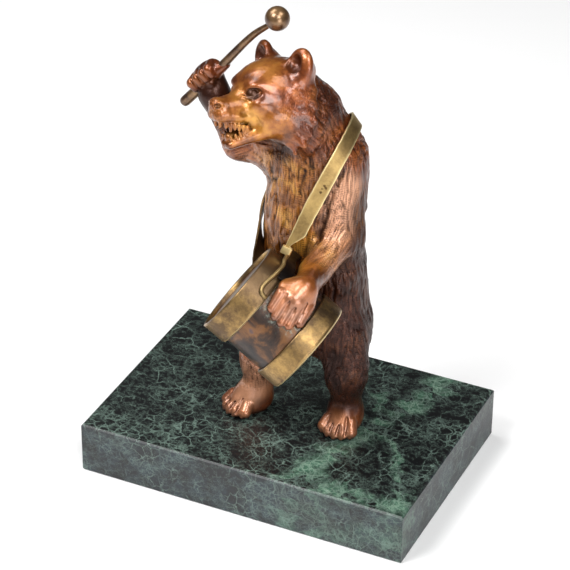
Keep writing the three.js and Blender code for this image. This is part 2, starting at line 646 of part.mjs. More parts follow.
// The dark plate that lies over the drum's hoop, and above it the keeper, a short flat ring round the strap
const TAB_ROW = smoothRow([[12.4, 119, 23.2], [11.4, 110, 23], [10.2, 99, 22.6], [9.2, 88, 22.2], [8.7, 79, 22]]
  .map((p) => onDrum(...p)), 8);
const tab = (grow = 0) => band(TAB_ROW, (i) => offDrum(119 - i * 5), () => 5.4, 0.8, grow);
function keeper(grow = 0) {
  const way = unit(sub(STRAP_ROW[1], STRAP_ROW[0]));
  const side = unit(cross(way, STRAP_FACING[0]));
  const m = new THREE.Matrix4().makeBasis(...[side, way, cross(side, way)].map((v) => new THREE.Vector3(...v)));
  const box = (w, l, h) => {
    const g = new THREE.BoxGeometry(w + 2 * grow, l + 2 * grow, h + 2 * grow);
    g.applyMatrix4(m.clone().setPosition(...add(KEEPER, way, 2.6)));
    return toSolid(bare(g));
  };
  return grow ? box(6.8, 3.2, 2.9) : box(6.8, 3.2, 2.9).subtract(box(5.5, 6, 1.6));
}

// The bent wire that hooks the strap to the drum
const HOOK_ROW = smoothRow([[12.6, 103, 25.3], [11.4, 95, 24.8], [11.4, 85, 24.3], [12.7, 78, 23.6], [13.6, 69, 22.8],
  [13.4, 60, 22.4], [11.6, 53.5, 22.3], [9, 52, 21.9], [7.7, 52, 20.7]].map((p) => onDrum(...p)), 20);
const hook = (grow = 0) => rod(HOOK_ROW, () => 0.7, 8, grow);

// The slab has eased edges all round.
function slab() {
  const { length, width, height, bevel } = SLAB;
  const x = length / 2 - bevel, y = width / 2 - bevel;
  const outline = new THREE.Shape([[-x, -y], [x, -y], [x, y], [-x, y]].map(([a, b]) => new THREE.Vector2(a, b)));
  const g = new THREE.ExtrudeGeometry(outline, { depth: height - 2 * bevel, bevelEnabled: true,
    bevelThickness: bevel, bevelSize: bevel, bevelSegments: 1 });
  g.translate(0, 0, bevel);
  return toSolid(bare(g));
}

// The bear: surface of its field, fur pushed in and out, fewer triangles, then cut to the slab and its fittings
function bear() {
  const raw = largest(surface(bearField, [-58, -60, FLOOR - 4], [48, 38, 204], GRID));
  raw.points = raw.points.map((p) => {
    const n = slope(bearField, p);
    return add(add(p, n, -bearField(p)), n, furHeight(p));
  });
  let solid = toSolid(simplify(raw, BEAR_TRIANGLES));
  const under = new THREE.BoxGeometry(200, 200, 20);
  under.translate(0, 0, FLOOR - 10);
  const h = DRUM.length / 2;
  for (const tool of [bare(under), drumBody(GAP), hoop(h - HOOP.upper, h, GAP), hoop(-h, HOOP.lower - h, GAP),
    strap(GAP), tab(GAP), hook(GAP)]) solid = solid.subtract(toSolid(tool));
  return solid.subtract(stick(GAP)).subtract(keeper(GAP));
}

const bronze = { color: 0x9a5a3c, roughness: 0.38, metalness: 0.9 };
const brass = { color: 0xb08d4e, roughness: 0.42, metalness: 0.9 };
const half = DRUM.length / 2;
const parts = {
  marble_base: [slab(), { color: 0x24362f, roughness: 0.25, metalness: 0 }],
  bear: [bear(), bronze],
  drum_body: [toSolid(drumBody()), { color: 0x5a4038, roughness: 0.5, metalness: 0.8 }],
  drum_hoop_upper: [toSolid(hoop(half - HOOP.upper, half)), brass],
  drum_hoop_lower: [toSolid(hoop(-half, HOOP.lower - half)), brass],
  drumstick: [mallet(), { ...bronze, color: 0xa07850 }],
  shoulder_strap: [toSolid(strap()), { ...brass, color: 0xc0a05c }],
  strap_keeper: [keeper(), { ...brass, color: 0xd8bc7a }],
  strap_tab: [toSolid(tab()), { color: 0x3a3838, roughness: 0.6, metalness: 0.3 }],
  drum_hook: [toSolid(hook()), brass],
};

const figure = new THREE.Group();
for (const [name, [solid, look]] of Object.entries(parts)) {
  const mesh = new THREE.Mesh(fromSolid(solid), new THREE.MeshStandardMaterial(look));
  mesh.name = name;
  figure.add(mesh);
}
export default figure;
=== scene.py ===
# %% [markdown]
# # A bronze bear that beats its drum
# This lesson gives a small cast bronze its look. The bear stands on a slab of dark green marble and beats
# a drum that hangs from a brass strap. The solids come ready made, in metres and in their places; here
# they get fur, teeth, patina, veined stone, soft light and a camera.

# %% Load the solids
from functools import partial
import bpy
import numpy as np
from mathutils import Matrix


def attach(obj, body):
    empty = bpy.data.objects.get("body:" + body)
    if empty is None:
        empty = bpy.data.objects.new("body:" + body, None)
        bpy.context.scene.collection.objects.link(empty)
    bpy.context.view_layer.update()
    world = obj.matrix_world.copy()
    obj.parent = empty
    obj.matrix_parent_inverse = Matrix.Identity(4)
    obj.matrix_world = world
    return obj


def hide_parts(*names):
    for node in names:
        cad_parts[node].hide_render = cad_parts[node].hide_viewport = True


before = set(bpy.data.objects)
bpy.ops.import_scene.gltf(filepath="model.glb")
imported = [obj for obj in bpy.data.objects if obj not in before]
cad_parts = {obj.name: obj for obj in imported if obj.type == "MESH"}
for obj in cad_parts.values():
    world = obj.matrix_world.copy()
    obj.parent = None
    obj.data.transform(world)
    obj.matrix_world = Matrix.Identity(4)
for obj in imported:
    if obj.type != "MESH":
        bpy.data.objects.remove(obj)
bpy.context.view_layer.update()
print("solids:", ", ".join(sorted(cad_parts)))

# %% [markdown]
# ## The camera
# The camera comes first, because it decides what has to be right. It looks down on the bear from its
# front left, about 33 degrees above the table, through a long lens. Its place was worked out from the
# slab's corners.

# %% Camera
MM = 0.001
EYE = (389.66, -843.09, 682.26)
RIGHT, UP, BACK = (0.90429, 0.42684, 0.00820), (-0.23666, 0.48523, 0.84175), (0.35532, -0.76313, 0.53980)

lens = bpy.data.cameras.new("camera")
lens.sensor_width, lens.lens, lens.clip_start, lens.clip_end = 36, 165.61, 0.01, 20
camera = bpy.data.objects.new("camera", lens)
bpy.context.scene.collection.objects.link(camera)
turned = np.column_stack([RIGHT, UP, BACK, np.multiply(EYE, MM)])
camera.matrix_world = Matrix(turned.tolist() + [[0, 0, 0, 1]])
bpy.context.scene.camera = camera
print("camera", round(float(np.linalg.norm(EYE))), "mm from the middle of the slab's underside")

# %% [markdown]
# ## Frames and arrays
# Every shape here is worked out in millimetres as a whole array of points. A frame is a place and three
# axes, written as rows. It lets a paw or a muzzle be described in its own directions and then put in
# place.

# %% Vectors and frames
def unit(v):
    """A vector, or each row of an array of them, divided by its length."""
    v = np.asarray(v, float)
    return v / np.linalg.norm(v, axis=-1, keepdims=True)

def length(v):
    """The root of the sum of squares of each row."""
    return np.sqrt(np.einsum("ij,ij->i", v, v))

def place(where, p):
    """From a frame's own coordinates to the figure's: its place plus each axis times its coordinate."""
    return where[0] + np.asarray(p, float) @ where[1]

def local(where, p):
    """The other way: the offset from the frame's place, measured along each of its axes."""
    return (p - where[0]) @ np.transpose(where[1])

LEVEL = (np.zeros(3), np.eye(3))
print("there and back:", local(LEVEL, place(LEVEL, (1, 2, 3))))

def between(x, low, high):
    """0 below low, 1 above high, and a smooth S from one to the other."""
    t = np.clip((x - low) / (high - low), 0, 1)
    return t * t * (3 - 2 * t)

print("between 0 and 4:", between(np.arange(5.0), 0, 4).round(2))

# %% [markdown]
# ## From arrays to a mesh
# A finished piece keeps its object at the origin and its place in its points. Closed shapes are checked
# for their volume, because a negative one means that the faces look inwards and have to be turned over.

# %% Put arrays into a mesh
def make_piece(name, points, faces, material, slot, node=None, **layers):
    """Puts points (mm) and faces (rows of corner numbers) into a mesh, with one attribute a layer."""
    faces = np.asarray(faces)
    fan = np.concatenate([faces[:, [0, i, i + 1]] for i in range(1, faces.shape[1] - 1)])
    a, b, c = (points[fan[:, i]] for i in range(3))
    volume = np.einsum("ij,ij->", a, np.cross(b, c)) / 6
    if volume < 0:
        faces = faces[:, ::-1]
    mesh = bpy.data.meshes.new(name)
    mesh.vertices.add(len(points))
    mesh.vertices.foreach_set("co", np.asarray(points * MM, np.float32).ravel())
    mesh.loops.add(faces.size)
    mesh.loops.foreach_set("vertex_index", np.ascontiguousarray(faces, np.int32).ravel())
    mesh.polygons.add(len(faces))
    mesh.polygons.foreach_set("loop_start", np.arange(0, faces.size, faces.shape[1], dtype=np.int32))
    mesh.polygons.foreach_set("use_smooth", np.ones(len(faces), bool))
    mesh.update(calc_edges=True)
    mesh.validate()
    for layer, values in layers.items():
        values = np.asarray(values, np.float32)
        made = mesh.attributes.new(layer, "FLOAT" if values.ndim < 2 else "FLOAT_VECTOR", "POINT")
        made.data.foreach_set("value" if values.ndim < 2 else "vector", values.ravel())
    mesh.materials.append(material)
    piece = bpy.data.objects.new(name, mesh)
    bpy.context.scene.collection.objects.link(piece)
    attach(piece, "root")
    if node:
        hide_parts(*([node] if isinstance(node, str) else node))
    print(f"{name}: {len(points)} points, {len(fan)} triangles, {abs(volume) / 1000:.2f} cm3")

# %% [markdown]
# ## Finishes
# One function adds a node, sets its settings and links what is already made. Colours are written as sRGB
# hex, as a paint chart gives them, and one function turns them to the linear values that the renderer
# needs.

# %% Nodes and colours
def rgb(code):
    """sRGB hex to linear red, green, blue: the lower end is a straight line, the rest a power of 2.4."""
    s = np.array([int(code[i:i + 2], 16) for i in (1, 3, 5)]) / 255
    return (*np.where(s <= 0.04045, s / 12.92, ((s + 0.055) / 1.055) ** 2.4).tolist(), 1.0)

def add_node(tree, kind, *values, stops=None, **settings):
    """Adds one shader node. A word after a dot in its kind is its operation, or the data it mixes.
    Lower-case settings are its properties, values fill its inputs in order, and a capitalised setting
    names an input. A value that is a node is linked, and any other is set."""
    kind, _, way = kind.partition(".")
    node = tree.nodes.new("ShaderNode" + kind)
    if way:
        setattr(node, "data_type" if kind == "Mix" else "operation", way)
    for key, value in settings.items():
        if key[0].islower():
            setattr(node, key, value)
    if stops:
        while len(node.color_ramp.elements) < len(stops):
            node.color_ramp.elements.new(0.5)
        for element, (position, shade) in zip(node.color_ramp.elements, stops):
            element.position = position
            element.color = rgb(shade)
    live = [s for s in node.inputs if s.enabled]
    named = {s.name: s for s in reversed(live)}
    pairs = list(zip(live, values))
    pairs += [(named[key.replace("_", " ")], v) for key, v in settings.items() if key[0].isupper()]
    for socket, value in pairs:
        if isinstance(value, bpy.types.Node):
            value = next(s for s in value.outputs if s.enabled)
        if isinstance(value, bpy.types.NodeSocket):
            tree.links.new(value, socket)
        elif value is not None:
            socket.default_value = value
    return node

def new_finish(name):
    """An empty material, what adds a node to it, and the object's own coordinates in millimetres."""
    material = bpy.data.materials.new(name)
    material.use_nodes = True
    material.node_tree.nodes.clear()
    add = partial(add_node, material.node_tree)
    return material, add, add("VectorMath.MULTIPLY", add("TexCoord").outputs["Object"], (1 / MM,) * 3)

def close_finish(add, **settings):
    """Ends a tree with its one shader and the output."""
    add("OutputMaterial", add("BsdfPrincipled", **settings))

print("sRGB #808080 is", round(rgb("#808080")[0], 3), "of white in linear light")

# %% [markdown]
# ## Forms of the bear
# A cast bear has no seams, so it is one surface. Each muscle is a simple form, an egg or a tapering bone,
# given as the distance of any point from it, negative inside. Forms are joined with a soft fillet, as wax
# is when two lumps are pressed together, and the surface lies where the joined distance is nought. It
# could be pushed about with sculpting brushes instead, but strokes of a hand can't be written down, and
# these forms can.

# %% Eggs, bones and fillets
UPRIGHT = np.eye(3)

def egg(centre, radii, axes=UPRIGHT):
    """An ellipsoid. With k the length of the offset divided by the radii, the distance is near k(k - 1)
    over the length of the same vector divided by the radii once more."""
    centre, radii = np.float32(centre), np.float32(radii)
    turn = (np.asarray(axes, np.float32) / radii[:, None]).T
    def distance(p):
        q = (p - centre) @ turn
        k = length(q)
        return k * (k - 1) / (length(q / radii) + 1e-9)
    return distance

def bone(a, b, ra, rb):
    """A capsule: the distance from the line a to b, less a radius that runs from ra to rb along it."""
    a, run = np.float32(a), np.float32(np.subtract(b, a))
    reach = float(run @ run)
    def distance(p):
        q = p - a
        t = np.clip(q @ run / reach, 0, 1)
        return length(q - t[:, None] * run) - (ra + (rb - ra) * t)
    return distance

def fillet(a, b, k):
    """The smaller of two distances, less h squared k/4 where they differ by less than k."""
    h = np.maximum(k - np.abs(a - b), 0) / k
    return np.minimum(a, b) - h * h * k / 4

def carve(a, tool, k):
    """Takes a form out of another: the fillet of the reversed distances, reversed."""
    return -fillet(-a, tool, k)

def joined(forms, p):
    """Forms added one after the other, each with the size of its own fillet."""
    d = np.full(len(p), 1e3, np.float32)
    for form, k in forms:
        d = fillet(d, form(p), k)
    return d

probe = np.float32([(0, 0, 0), (2, 0, 0), (5, 0, 0)])
print("from a ball of radius 2:", egg((0, 0, 0), (2, 2, 2))(probe).round(2))

# %% Joints of the body, and the drum's frame
FLOOR = 24
BODY = dict(rump=(9, 9, 73), belly=(8.5, 5, 96), chest=(6.5, 4.5, 124), withers=(7.5, 8, 148),
            neck=(4, 3.5, 167), shoulderL=(17.5, 6, 149), elbowL=(23, 1, 118), wristL=(20, -21.5, 110.5),
            shoulderR=(-8, 5, 149), elbowR=(-26, 6, 146.5), wristR=(-38.6, 6, 166),
            hipL=(23, 5, 68), kneeL=(26.6, -1, 50), ankleL=(26.6, -0.5, 33),
            hipR=(-6, 3, 70), kneeR=(-11.5, -5, 50), ankleR=(-13, -6, 33))

axis = unit((-0.803, -0.074, 0.591))
front = unit((0, -1, 0) + axis * axis[1])
DRUM = (np.array((7.2, -33, 92.0)), np.array([front, np.cross(axis, front), axis]))

def on_drum(along, turn, out):
    """A point by its distance along the drum's axis, its angle round it and its distance out from it."""
    a = np.radians(turn)
    return place(DRUM, np.stack(np.broadcast_arrays(np.cos(a) * out, np.sin(a) * out, along), -1))

def off_drum(turn):
    """The direction straight out from the drum's axis at an angle round it."""
    return on_drum(0, turn, 1) - DRUM[0]

print("drum's axis leans", round(np.degrees(np.arccos(axis[2]))), "degrees from upright")

# %% Trunk and hind legs
trunk = [(egg(BODY["rump"], (21.6, 19, 22)), 8), (egg(BODY["belly"], (22.8, 18, 30)), 10),
         (egg(BODY["chest"], (19.5, 17.5, 28)), 10), (egg(BODY["withers"], (19, 16, 18)), 9),
         (bone(BODY["withers"], BODY["neck"], 16, 15.5), 9), (egg((8, 28.5, 64), (4, 4.5, 5.5)), 6)]

def hind_leg(side, yaw, out):
    """Thigh, shin and a flat foot. Five toes spread from the instep, with deep grooves between them."""
    hip, knee, ankle = (BODY[part + side] for part in ("hip", "knee", "ankle"))
    a = np.radians(yaw)
    ahead, aside = np.array(((-np.sin(a), -np.cos(a), 0), (np.cos(a), -np.sin(a), 0)))
    foot = ((*ankle[:2], FLOOR) + ahead * 1.8, np.array((ahead, aside, (0, 0, 1))))
    at = lambda x, y, z: place(foot, (x, out + y, z))
    forms = [(bone(hip, knee, 11.5, 8), 7), (bone(knee, ankle, 7.6, 6.1), 6),
             (bone(ankle, at(-2, -out, 5.5), 6, 5.4), 4),
             (egg(at(0, 0, 3.8), (10.6, 7.2, 7.4), foot[1]), 5)]
    reach = lambda i: 12.7 - 0.7 * i * i
    for i in range(-2, 3):
        tip = reach(i)
        forms.append((bone(at(5, i * 2.6, 5.6), at(tip - 2.5, i * 3.1, 3), 2.6, 2.75), 0.9))
        forms.append((bone(at(tip - 1.4, i * 3.15, 2.3), at(tip - 0.6, i * 3.2, 1.4), 1, 0.85), 0.5))
    cuts = [(bone(at(6, i * 2.5, 8.6), at(reach(i), i * 3.15, 3.2), 0.25, 0.45), 1.1)
            for i in (-1.5, -0.5, 0.5, 1.5)]
    return forms, cuts

print(len(trunk), "forms in the trunk,", len(hind_leg("L", 0, 0)[0]), "in a hind leg")

# %% The raised arm
along, over = unit((0.679, 0, 0.734)), unit((-0.101, -0.99, 0.094))
GRIP = (np.array((-41.7, 5, 171.3)), np.array([along, np.cross(along, over), over]))

def raised_arm():
    """The arm that holds the stick: four bent fingers over it, the heel of the hand under it."""
    at = lambda *p: place(GRIP, p)
    forms = [(bone(BODY["shoulderR"], BODY["elbowR"], 10, 7.6), 8),
             (bone(BODY["elbowR"], BODY["wristR"], 7.2, 6.2), 4),
             (bone(BODY["wristR"], at(2, -1, -3.2), 6, 5), 3),
             (egg(at(2.2, -3, -0.8), (8.4, 4.2, 4), GRIP[1]), 2),
             (bone(at(7.5, -1, 0.4), at(13.5, 0, 0), 3.4, 1.7), 1.2),
             (bone(at(-1, 1.8, 1), at(3, 1.9, 2), 1.9, 1.8), 1.2)]
    for x in -3.5 + 3.75 * np.arange(4):
        forms.append((bone(at(x, -4.2, 0.2), at(x - 0.2, -3, 3.5), 2.1, 2.2), 0.9))
        forms.append((bone(at(x - 0.2, -3, 3.5), at(x - 0.5, -0.4, 3.2), 2.2, 1.7), 0.5))
    cuts = []
    for x in -1.7 + 3.75 * np.arange(3):
        cuts.append((bone(at(x, -6.6, 2), at(x, -4.6, 5), 0.5, 0.5), 0.5))
        cuts.append((bone(at(x, -4.6, 5), at(x - 0.4, -0.8, 4.8), 0.5, 0.5), 0.5))
    return forms, cuts

print(len(raised_arm()[0]), "forms in the raised arm")

# %% The arm on the drum
GAP = [(25, -4.5, 152.5), (23.4, -6.4, 147.5), (20.9, -8.2, 140), (18.9, -9.4, 132.5), (17.4, -10.7, 126),
       (17, -12, 121)]

def drum_arm():
    """The arm whose paw lies on the drum, with knuckles and fingertips placed on the barrel. A deep gap
    along the strap parts the upper arm from the chest."""
    forms = [(bone(BODY["shoulderL"], BODY["elbowL"], 10.5, 7.8), 8),
             (bone(BODY["elbowL"], BODY["wristL"], 7.4, 6), 4),
             (bone(BODY["wristL"], on_drum(-0.2, 82, 25.4), 5.9, 5.2), 2.5),
             (bone(on_drum(-0.2, 82, 25.4), on_drum(0, 70, 23.8), 5.2, 4.6), 2.5),
             (egg(on_drum(0.2, 74, 23.2), (8.8, 6.4, 3.9), (axis, off_drum(164), off_drum(74))), 3)]
    knuckles = np.array([(6.1, 60), (3.2, 59), (0, 60), (-3.2, 63), (-6.2, 68)])
    tips = np.array([(5, 46), (1.7, 42), (-1.7, 41), (-4.9, 44), (-7.8, 53)])
    for (k, turn), (a, t) in zip(knuckles, tips):
        forms.append((bone(on_drum(k, turn + 5, 24), on_drum(a, t + 2, 22), 2.25, 1.85), 0.4))
        forms.append((bone(on_drum(a, t + 2, 22.4), on_drum(a - 0.4, t - 2, 21.4), 1.1, 0.7), 0.4))
    gaps = zip((knuckles[:-1] + knuckles[1:]) / 2, (tips[:-1] + tips[1:]) / 2)
    cuts = []
    for (k, turn), (a, t) in gaps:
        cuts.append((bone(on_drum(k * 0.94, turn + 5, 26.6), on_drum(a, t, 23.7), 0.4, 0.6), 0.8))
    cuts += [(bone(p, q, 1 + 0.08 * i, 1.08 + 0.08 * i), 1.6) for i, (p, q) in enumerate(zip(GAP, GAP[1:]))]
    return forms, cuts

print(len(drum_arm()[0]), "forms in the arm on the drum")

# %% [markdown]
# ## The head
# The head is turned and tilted, so it has its own frame: x runs to the nose, y to the bear's left ear and
# z to the crown. It is worked out on one side and mirrored, as a modeller does with a wax head.

# %% Head
turn, rise, tilt = np.radians((33, 15, 16))
ahead, aside = np.array((-np.sin(turn), -np.cos(turn), 0)), np.array((np.cos(turn), -np.sin(turn), 0))
nose_way = ahead * np.cos(rise) + np.array((0, 0, np.sin(rise)))
crown_way = np.array((0, 0, np.cos(rise))) - ahead * np.sin(rise)
side_way = aside * np.cos(tilt) + crown_way * np.sin(tilt)
HEAD = (np.array((-4.6, -6, 176.0)), np.array([nose_way, side_way, np.cross(nose_way, side_way)]))
in_head = lambda *q: place(HEAD, q)

skull = [(egg((-1, 0, 3.4), (17.5, 15.6, 15)), 1), (egg((8.5, 0, 5), (9.5, 10.5, 9)), 7),
         (egg((3, 8.5, -4.5), (10.5, 7.3, 7.6)), 6), (egg((-6.5, 10, -6), (8.5, 9, 14)), 4),
         (bone((11, 0, -2), (25.5, 0, -3), 8.8, 5.6), 4),
         (bone((21, 4.4, -4.4), (28.2, 2.2, -4.6), 2.6, 2.4), 1.5),
         (bone((6, 8, -8.6), (21.6, 2, -16), 4.2, 1.9), 3),
         (bone((8, 0, -10.5), (21.4, 0, -16.2), 5, 1.9), 3),
         (egg((13.4, 5.8, 7.6), (4.4, 3.2, 2.1)), 3), (egg((12.6, 9.4, 0.6), (4.2, 2.4, 2.4)), 3)]
print("the tip of the nose is", in_head(31.7, 0, -0.7)[2].round(), "mm above the table")

# %% Mouth and teeth
hinge, open_up, open_down = np.float32((15.6, 0, -9.7)), unit((-0.16, 0, 0.987)), unit((-0.62, 0, -0.785))

def mouth(q):
    """A wedge that opens forward from the hinge: the larger of the distances beyond its upper and lower
    sides."""
    above, below = ((q - hinge) @ np.float32(way) for way in (open_up, open_down))
    return np.maximum(np.maximum(above, below), q[:, 1] - 10)

jaw_axes = (unit((6.5, 0, -6)), (0, 1, 0), unit((6, 0, 6.5)))
inside = [(egg((22.5, 0, -8.4), (6.5, 2.6, 1.8)), 0.8), (egg((19, 0, -13), (4.2, 2.2, 1.8), jaw_axes), 0.8)]
tongue = [(bone((12, 0, -10.8), (21.4, 0, -13.6), 3.2, 2.2), 1)]
upper = np.linspace(27.6, 17.4, 7)
across = np.interp(upper, [17.4, 22.5, 25.4, 27.6], [6, 4.7, 3.9, 1.6])
stand = np.array([1.5, 1.4, 2.4, 1.4, 1.4, 1.3, 1.2])
gum = -7.2 - 0.17 * (27.6 - upper)
teeth = [bone((x, y, z), (x - 0.2, 0.97 * y, z - 0.4 - out), 0.95, 0.6)
         for x, y, z, out in zip(upper, across, gum, stand)]
lower = np.linspace(21.9, 16.4, 5)
across, gum = np.interp(lower, [16.4, 20, 21.9], [5.6, 4.2, 2.6]), -9.7 - 0.79 * (lower - 15.6)
teeth += [bone((x, y, z), (x + 0.9, y, z + 1.4), 0.95, 0.6) for x, y, z in zip(lower, across, gum)]
print(len(teeth), "teeth on each side")

# %% Eyes, nose and creases
slit, outward = unit((-0.75, 0.55, 0.375)), unit((0.55, 0.8, 0.1))
outward = unit(outward - slit * (outward @ slit))
EYE_AXES = np.array([slit, outward, np.cross(slit, outward)])
EYE_SPOT = np.array((16.6, 6.5, 4.4))
socket = egg(EYE_SPOT + outward, (3.9, 2, 2.1), EYE_AXES)
eyeball = egg(EYE_SPOT - outward * 1.3, (2.5, 2.5, 2.5))
lid_top = EYE_SPOT - slit * 0.8 + EYE_AXES[2] * 1.8 + outward * 0.9
lids = [bone(EYE_SPOT - slit * 3.8 - EYE_AXES[2] * 0.2, lid_top, 0.45, 0.6),
        bone(lid_top, EYE_SPOT + slit * 4, 0.6, 0.45)]
nose_pad = egg((28.8, 0, -0.7), (3.1, 4.2, 3.1))
lip_fold = [(20.8, 7.1, -3.4), (18.6, 7.8, -3.6), (15.6, 8.9, -5.4), (13.8, 9.7, -8)]
creases = [(bone(p, q, 0.25, 0.25), 1.6) for p, q in zip(lip_fold, lip_fold[1:])]
creases += [(bone((29.8, 3.1, -0.6), (30.8, 2.5, -1), 0.8, 0.8), 0.5),
            (bone((29.8, 3.6, -0.9), (29, 4.2, -1.7), 0.25, 0.15), 0.5),
            (bone((32, 0, -3.6), (30.8, 0, -7), 0.45, 0.45), 0.8)]
print(len(creases), "creases on each side of the muzzle")

# %% Ears
face = unit((0.93, 0.16, -0.05))
tall = np.array((-0.1, 0.3, 0.94))
tall = unit(tall - face * (tall @ face))
EAR = (np.array((-1.5, 12.4, 15.4)), np.array([face, np.cross(tall, face), tall]))
ear = [(egg(EAR[0], (3.4, 6.5, 8.4), EAR[1]), 1),
       (egg(place(EAR, (-2.4, 0, -2)), (4.4, 5.6, 6.4), EAR[1]), 2)]
cup = egg(place(EAR, (3.2, -1.3, 0.8)), (3.3, 3.7, 5.2), EAR[1])
print("the left ear's tip is", in_head(*place(EAR, (0, 0, 8.4)))[2].round(), "mm above the table")

# %% The whole head
def head(p):
    """Skull, cheeks, muzzle and jaw, less mouth, sockets and creases, with tongue, teeth, lids and ears
    added."""
    q = np.float32(local(HEAD, p))
    q[:, 1] = np.abs(q[:, 1])
    d = carve(fillet(joined(skull, q), nose_pad(q), 0.8), mouth(q), 0.8)
    for form, k in inside:
        d = carve(d, form(q), k)
    for form, k in tongue + [(tooth, 0.3) for tooth in teeth]:
        d = fillet(d, form(q), k)
    d = fillet(carve(d, socket(q), 1.2), eyeball(q), 0.2)
    for form in lids:
        d = fillet(d, form(q), 0.6)
    for form, k in creases:
        d = carve(d, form(q), k)
    d = fillet(d, carve(joined(ear, q), cup(q), 1.2), 4)
    for lock in ruff:
        d = fillet(d, lock(q), 3.6)
    return d

# %% [markdown]
# ## Locks that stand off the body
# Long tufts stand off the cheek, the elbow and the thigh, and the neck is hollowed behind the cheek and
# under the jaw. The modeller presses these on as tapering rolls of wax, so each is a bone that ends in a
# point.

# %% Locks and hollows
roots = np.array([(-1, 15.2, 11), (1, 15, 6.5), (2.4, 14.6, 1.5), (2.6, 14.6, -3.5), (2.8, 13.4, -7.5),
                  (2.6, 10.6, -10.5), (2, 6.5, -13)])
ends = np.array([(-7.5, 16.6, 6), (-6.6, 18.4, 0.5), (-5.6, 19.8, -5), (-4.4, 19.8, -10.5), (-3, 18, -15.5),
                 (-1.8, 13.8, -18.8), (-1, 8.4, -19.8)])
ruff = [bone(p - (0, 2.2, 0), q, 2.4, 1.2) for p, q in zip(roots, ends)]
behind = [(-10, 12, 13), (-10.6, 16, 5), (-9.8, 19.4, -3), (-8.2, 20.6, -11), (-5.4, 17.5, -18),
          (-3.4, 10, -21.4)]
hollows = [(bone(p, q, 1.2, 1.2), 4) for p, q in zip(behind, behind[1:])]
hollows.append((egg((1, 0, -19), (4.5, 9, 1.6)), 5))

def of_head(form):
    """A form of the head's own frame, for points of the figure."""
    return lambda p: form(np.float32(local(HEAD, p)))

neck_cuts = [(of_head(form), k) for form, k in hollows]
tufts = [((27, 0, 84), (35.2, -2, 57)), ((25, -4, 78), (31, -8, 55)), ((23, 1, 114), (28.6, -2.6, 102)),
         ((21, -1, 106), (26.2, -6.6, 96.5)), ((22, 12, 150), (26, 15, 124))]
trunk += [(bone(p, q, 1.6, 1), 7) for p, q in tufts]
print(len(ruff), "locks in the ruff on each side,", len(tufts), "tufts on the body")

# %% Groups of forms, and the way the fur lies on each
down = lambda x, y: lambda p: np.broadcast_to((x, y, -1.0), p.shape)
GROUPS = [
    (trunk, [], down(0, 0.12), 1),
    (*hind_leg("L", -2, 0), down(0, 0.1), 1),
    (*hind_leg("R", 27, -2.5), down(0, 0.1), 1),
    (*raised_arm(), lambda p: np.where(p[:, 2:] < 150, (-0.9, 0, -0.5), (0.35, 0, -1)), 0.6),
    (*drum_arm(), lambda p: np.where(p[:, 1:2] < -6, (-0.3, -0.9, -0.4), (0.1, -0.25, -1)), 0.75),
    ([(head, 5)], neck_cuts, lambda p: np.broadcast_to(-nose_way + (0, 0, -0.5), p.shape), 0.6),
]
REACH = [(8, 10, 112, 72), (26, -2, 46, 36), (-12, -6, 46, 38), (-25, 5, 158, 38), (16, -10, 128, 46),
         (0, -8, 176, 48)]
print(sum(len(forms) + len(cuts) for forms, cuts, *_ in GROUPS), "forms and cuts in", len(GROUPS), "groups")

def bear_distance(p):
    """All forms joined in order. Each group is only worked out for points within reach of it."""
    p = np.float32(p)
    d = np.full(len(p), 1e3, np.float32)
    for (forms, cuts, _, _), ball in zip(GROUPS, REACH):
        near = np.flatnonzero(length(p - np.float32(ball[:3])) < ball[3] + 12)
        q, e = p[near], d[near]
        for form, k in forms:
            e = fillet(e, form(q), k)
        for form, k in cuts:
            e = carve(e, form(q), k)
        d[near] = e
    return d

# %% [markdown]
# ## The drum and the slab as distances
# The casting touches both, so they are needed here as distances too: they cut the paw and the soles to
# shape, and they go into the crevice layer: a narrow fold of the casting holds darker patina, and a place
# close to the drum or the slab gets painted shade.

# %% What the casting touches
SHELL, HALF, RIM, UPPER, LOWER = 19.4, 19.5, 21.0, 10.8, 9.8

def drum_distance(p):
    """Two rings and a barrel: the larger of the distance from the wall and the distance beyond each
    end."""
    q = local(DRUM, p)
    r, z = np.hypot(q[:, 0], q[:, 1]), q[:, 2]
    barrel = np.maximum(r - SHELL, np.abs(z) - HALF)
    upper = np.maximum(r - RIM, np.abs(z - HALF + UPPER / 2) - UPPER / 2)
    lower = np.maximum(r - RIM, np.abs(z + HALF - LOWER / 2) - LOWER / 2)
    return np.minimum(barrel, np.minimum(upper, lower))

def bear_field(p):
    """The bear less the drum and less all that is under the floor."""
    return np.maximum(np.maximum(bear_distance(p), 0.2 - drum_distance(p)), FLOOR + 0.02 - p[:, 2])

print("field in the chest:", bear_field(np.array([BODY["chest"]]))[0].round(1), "mm")

# %% [markdown]
# ## From a distance to a surface
# The field is sampled on a grid that is finer across the fur than along it. Most of the grid is far from
# the surface, so it is first sampled once a block, and only blocks near the surface are filled in. Each
# cell that the surface crosses gets one point, in the middle of its crossings, and each crossed edge gets
# one face. A remesher would do the same to a rough mesh, but here the field itself is at hand, so every
# point can then be put right on it.

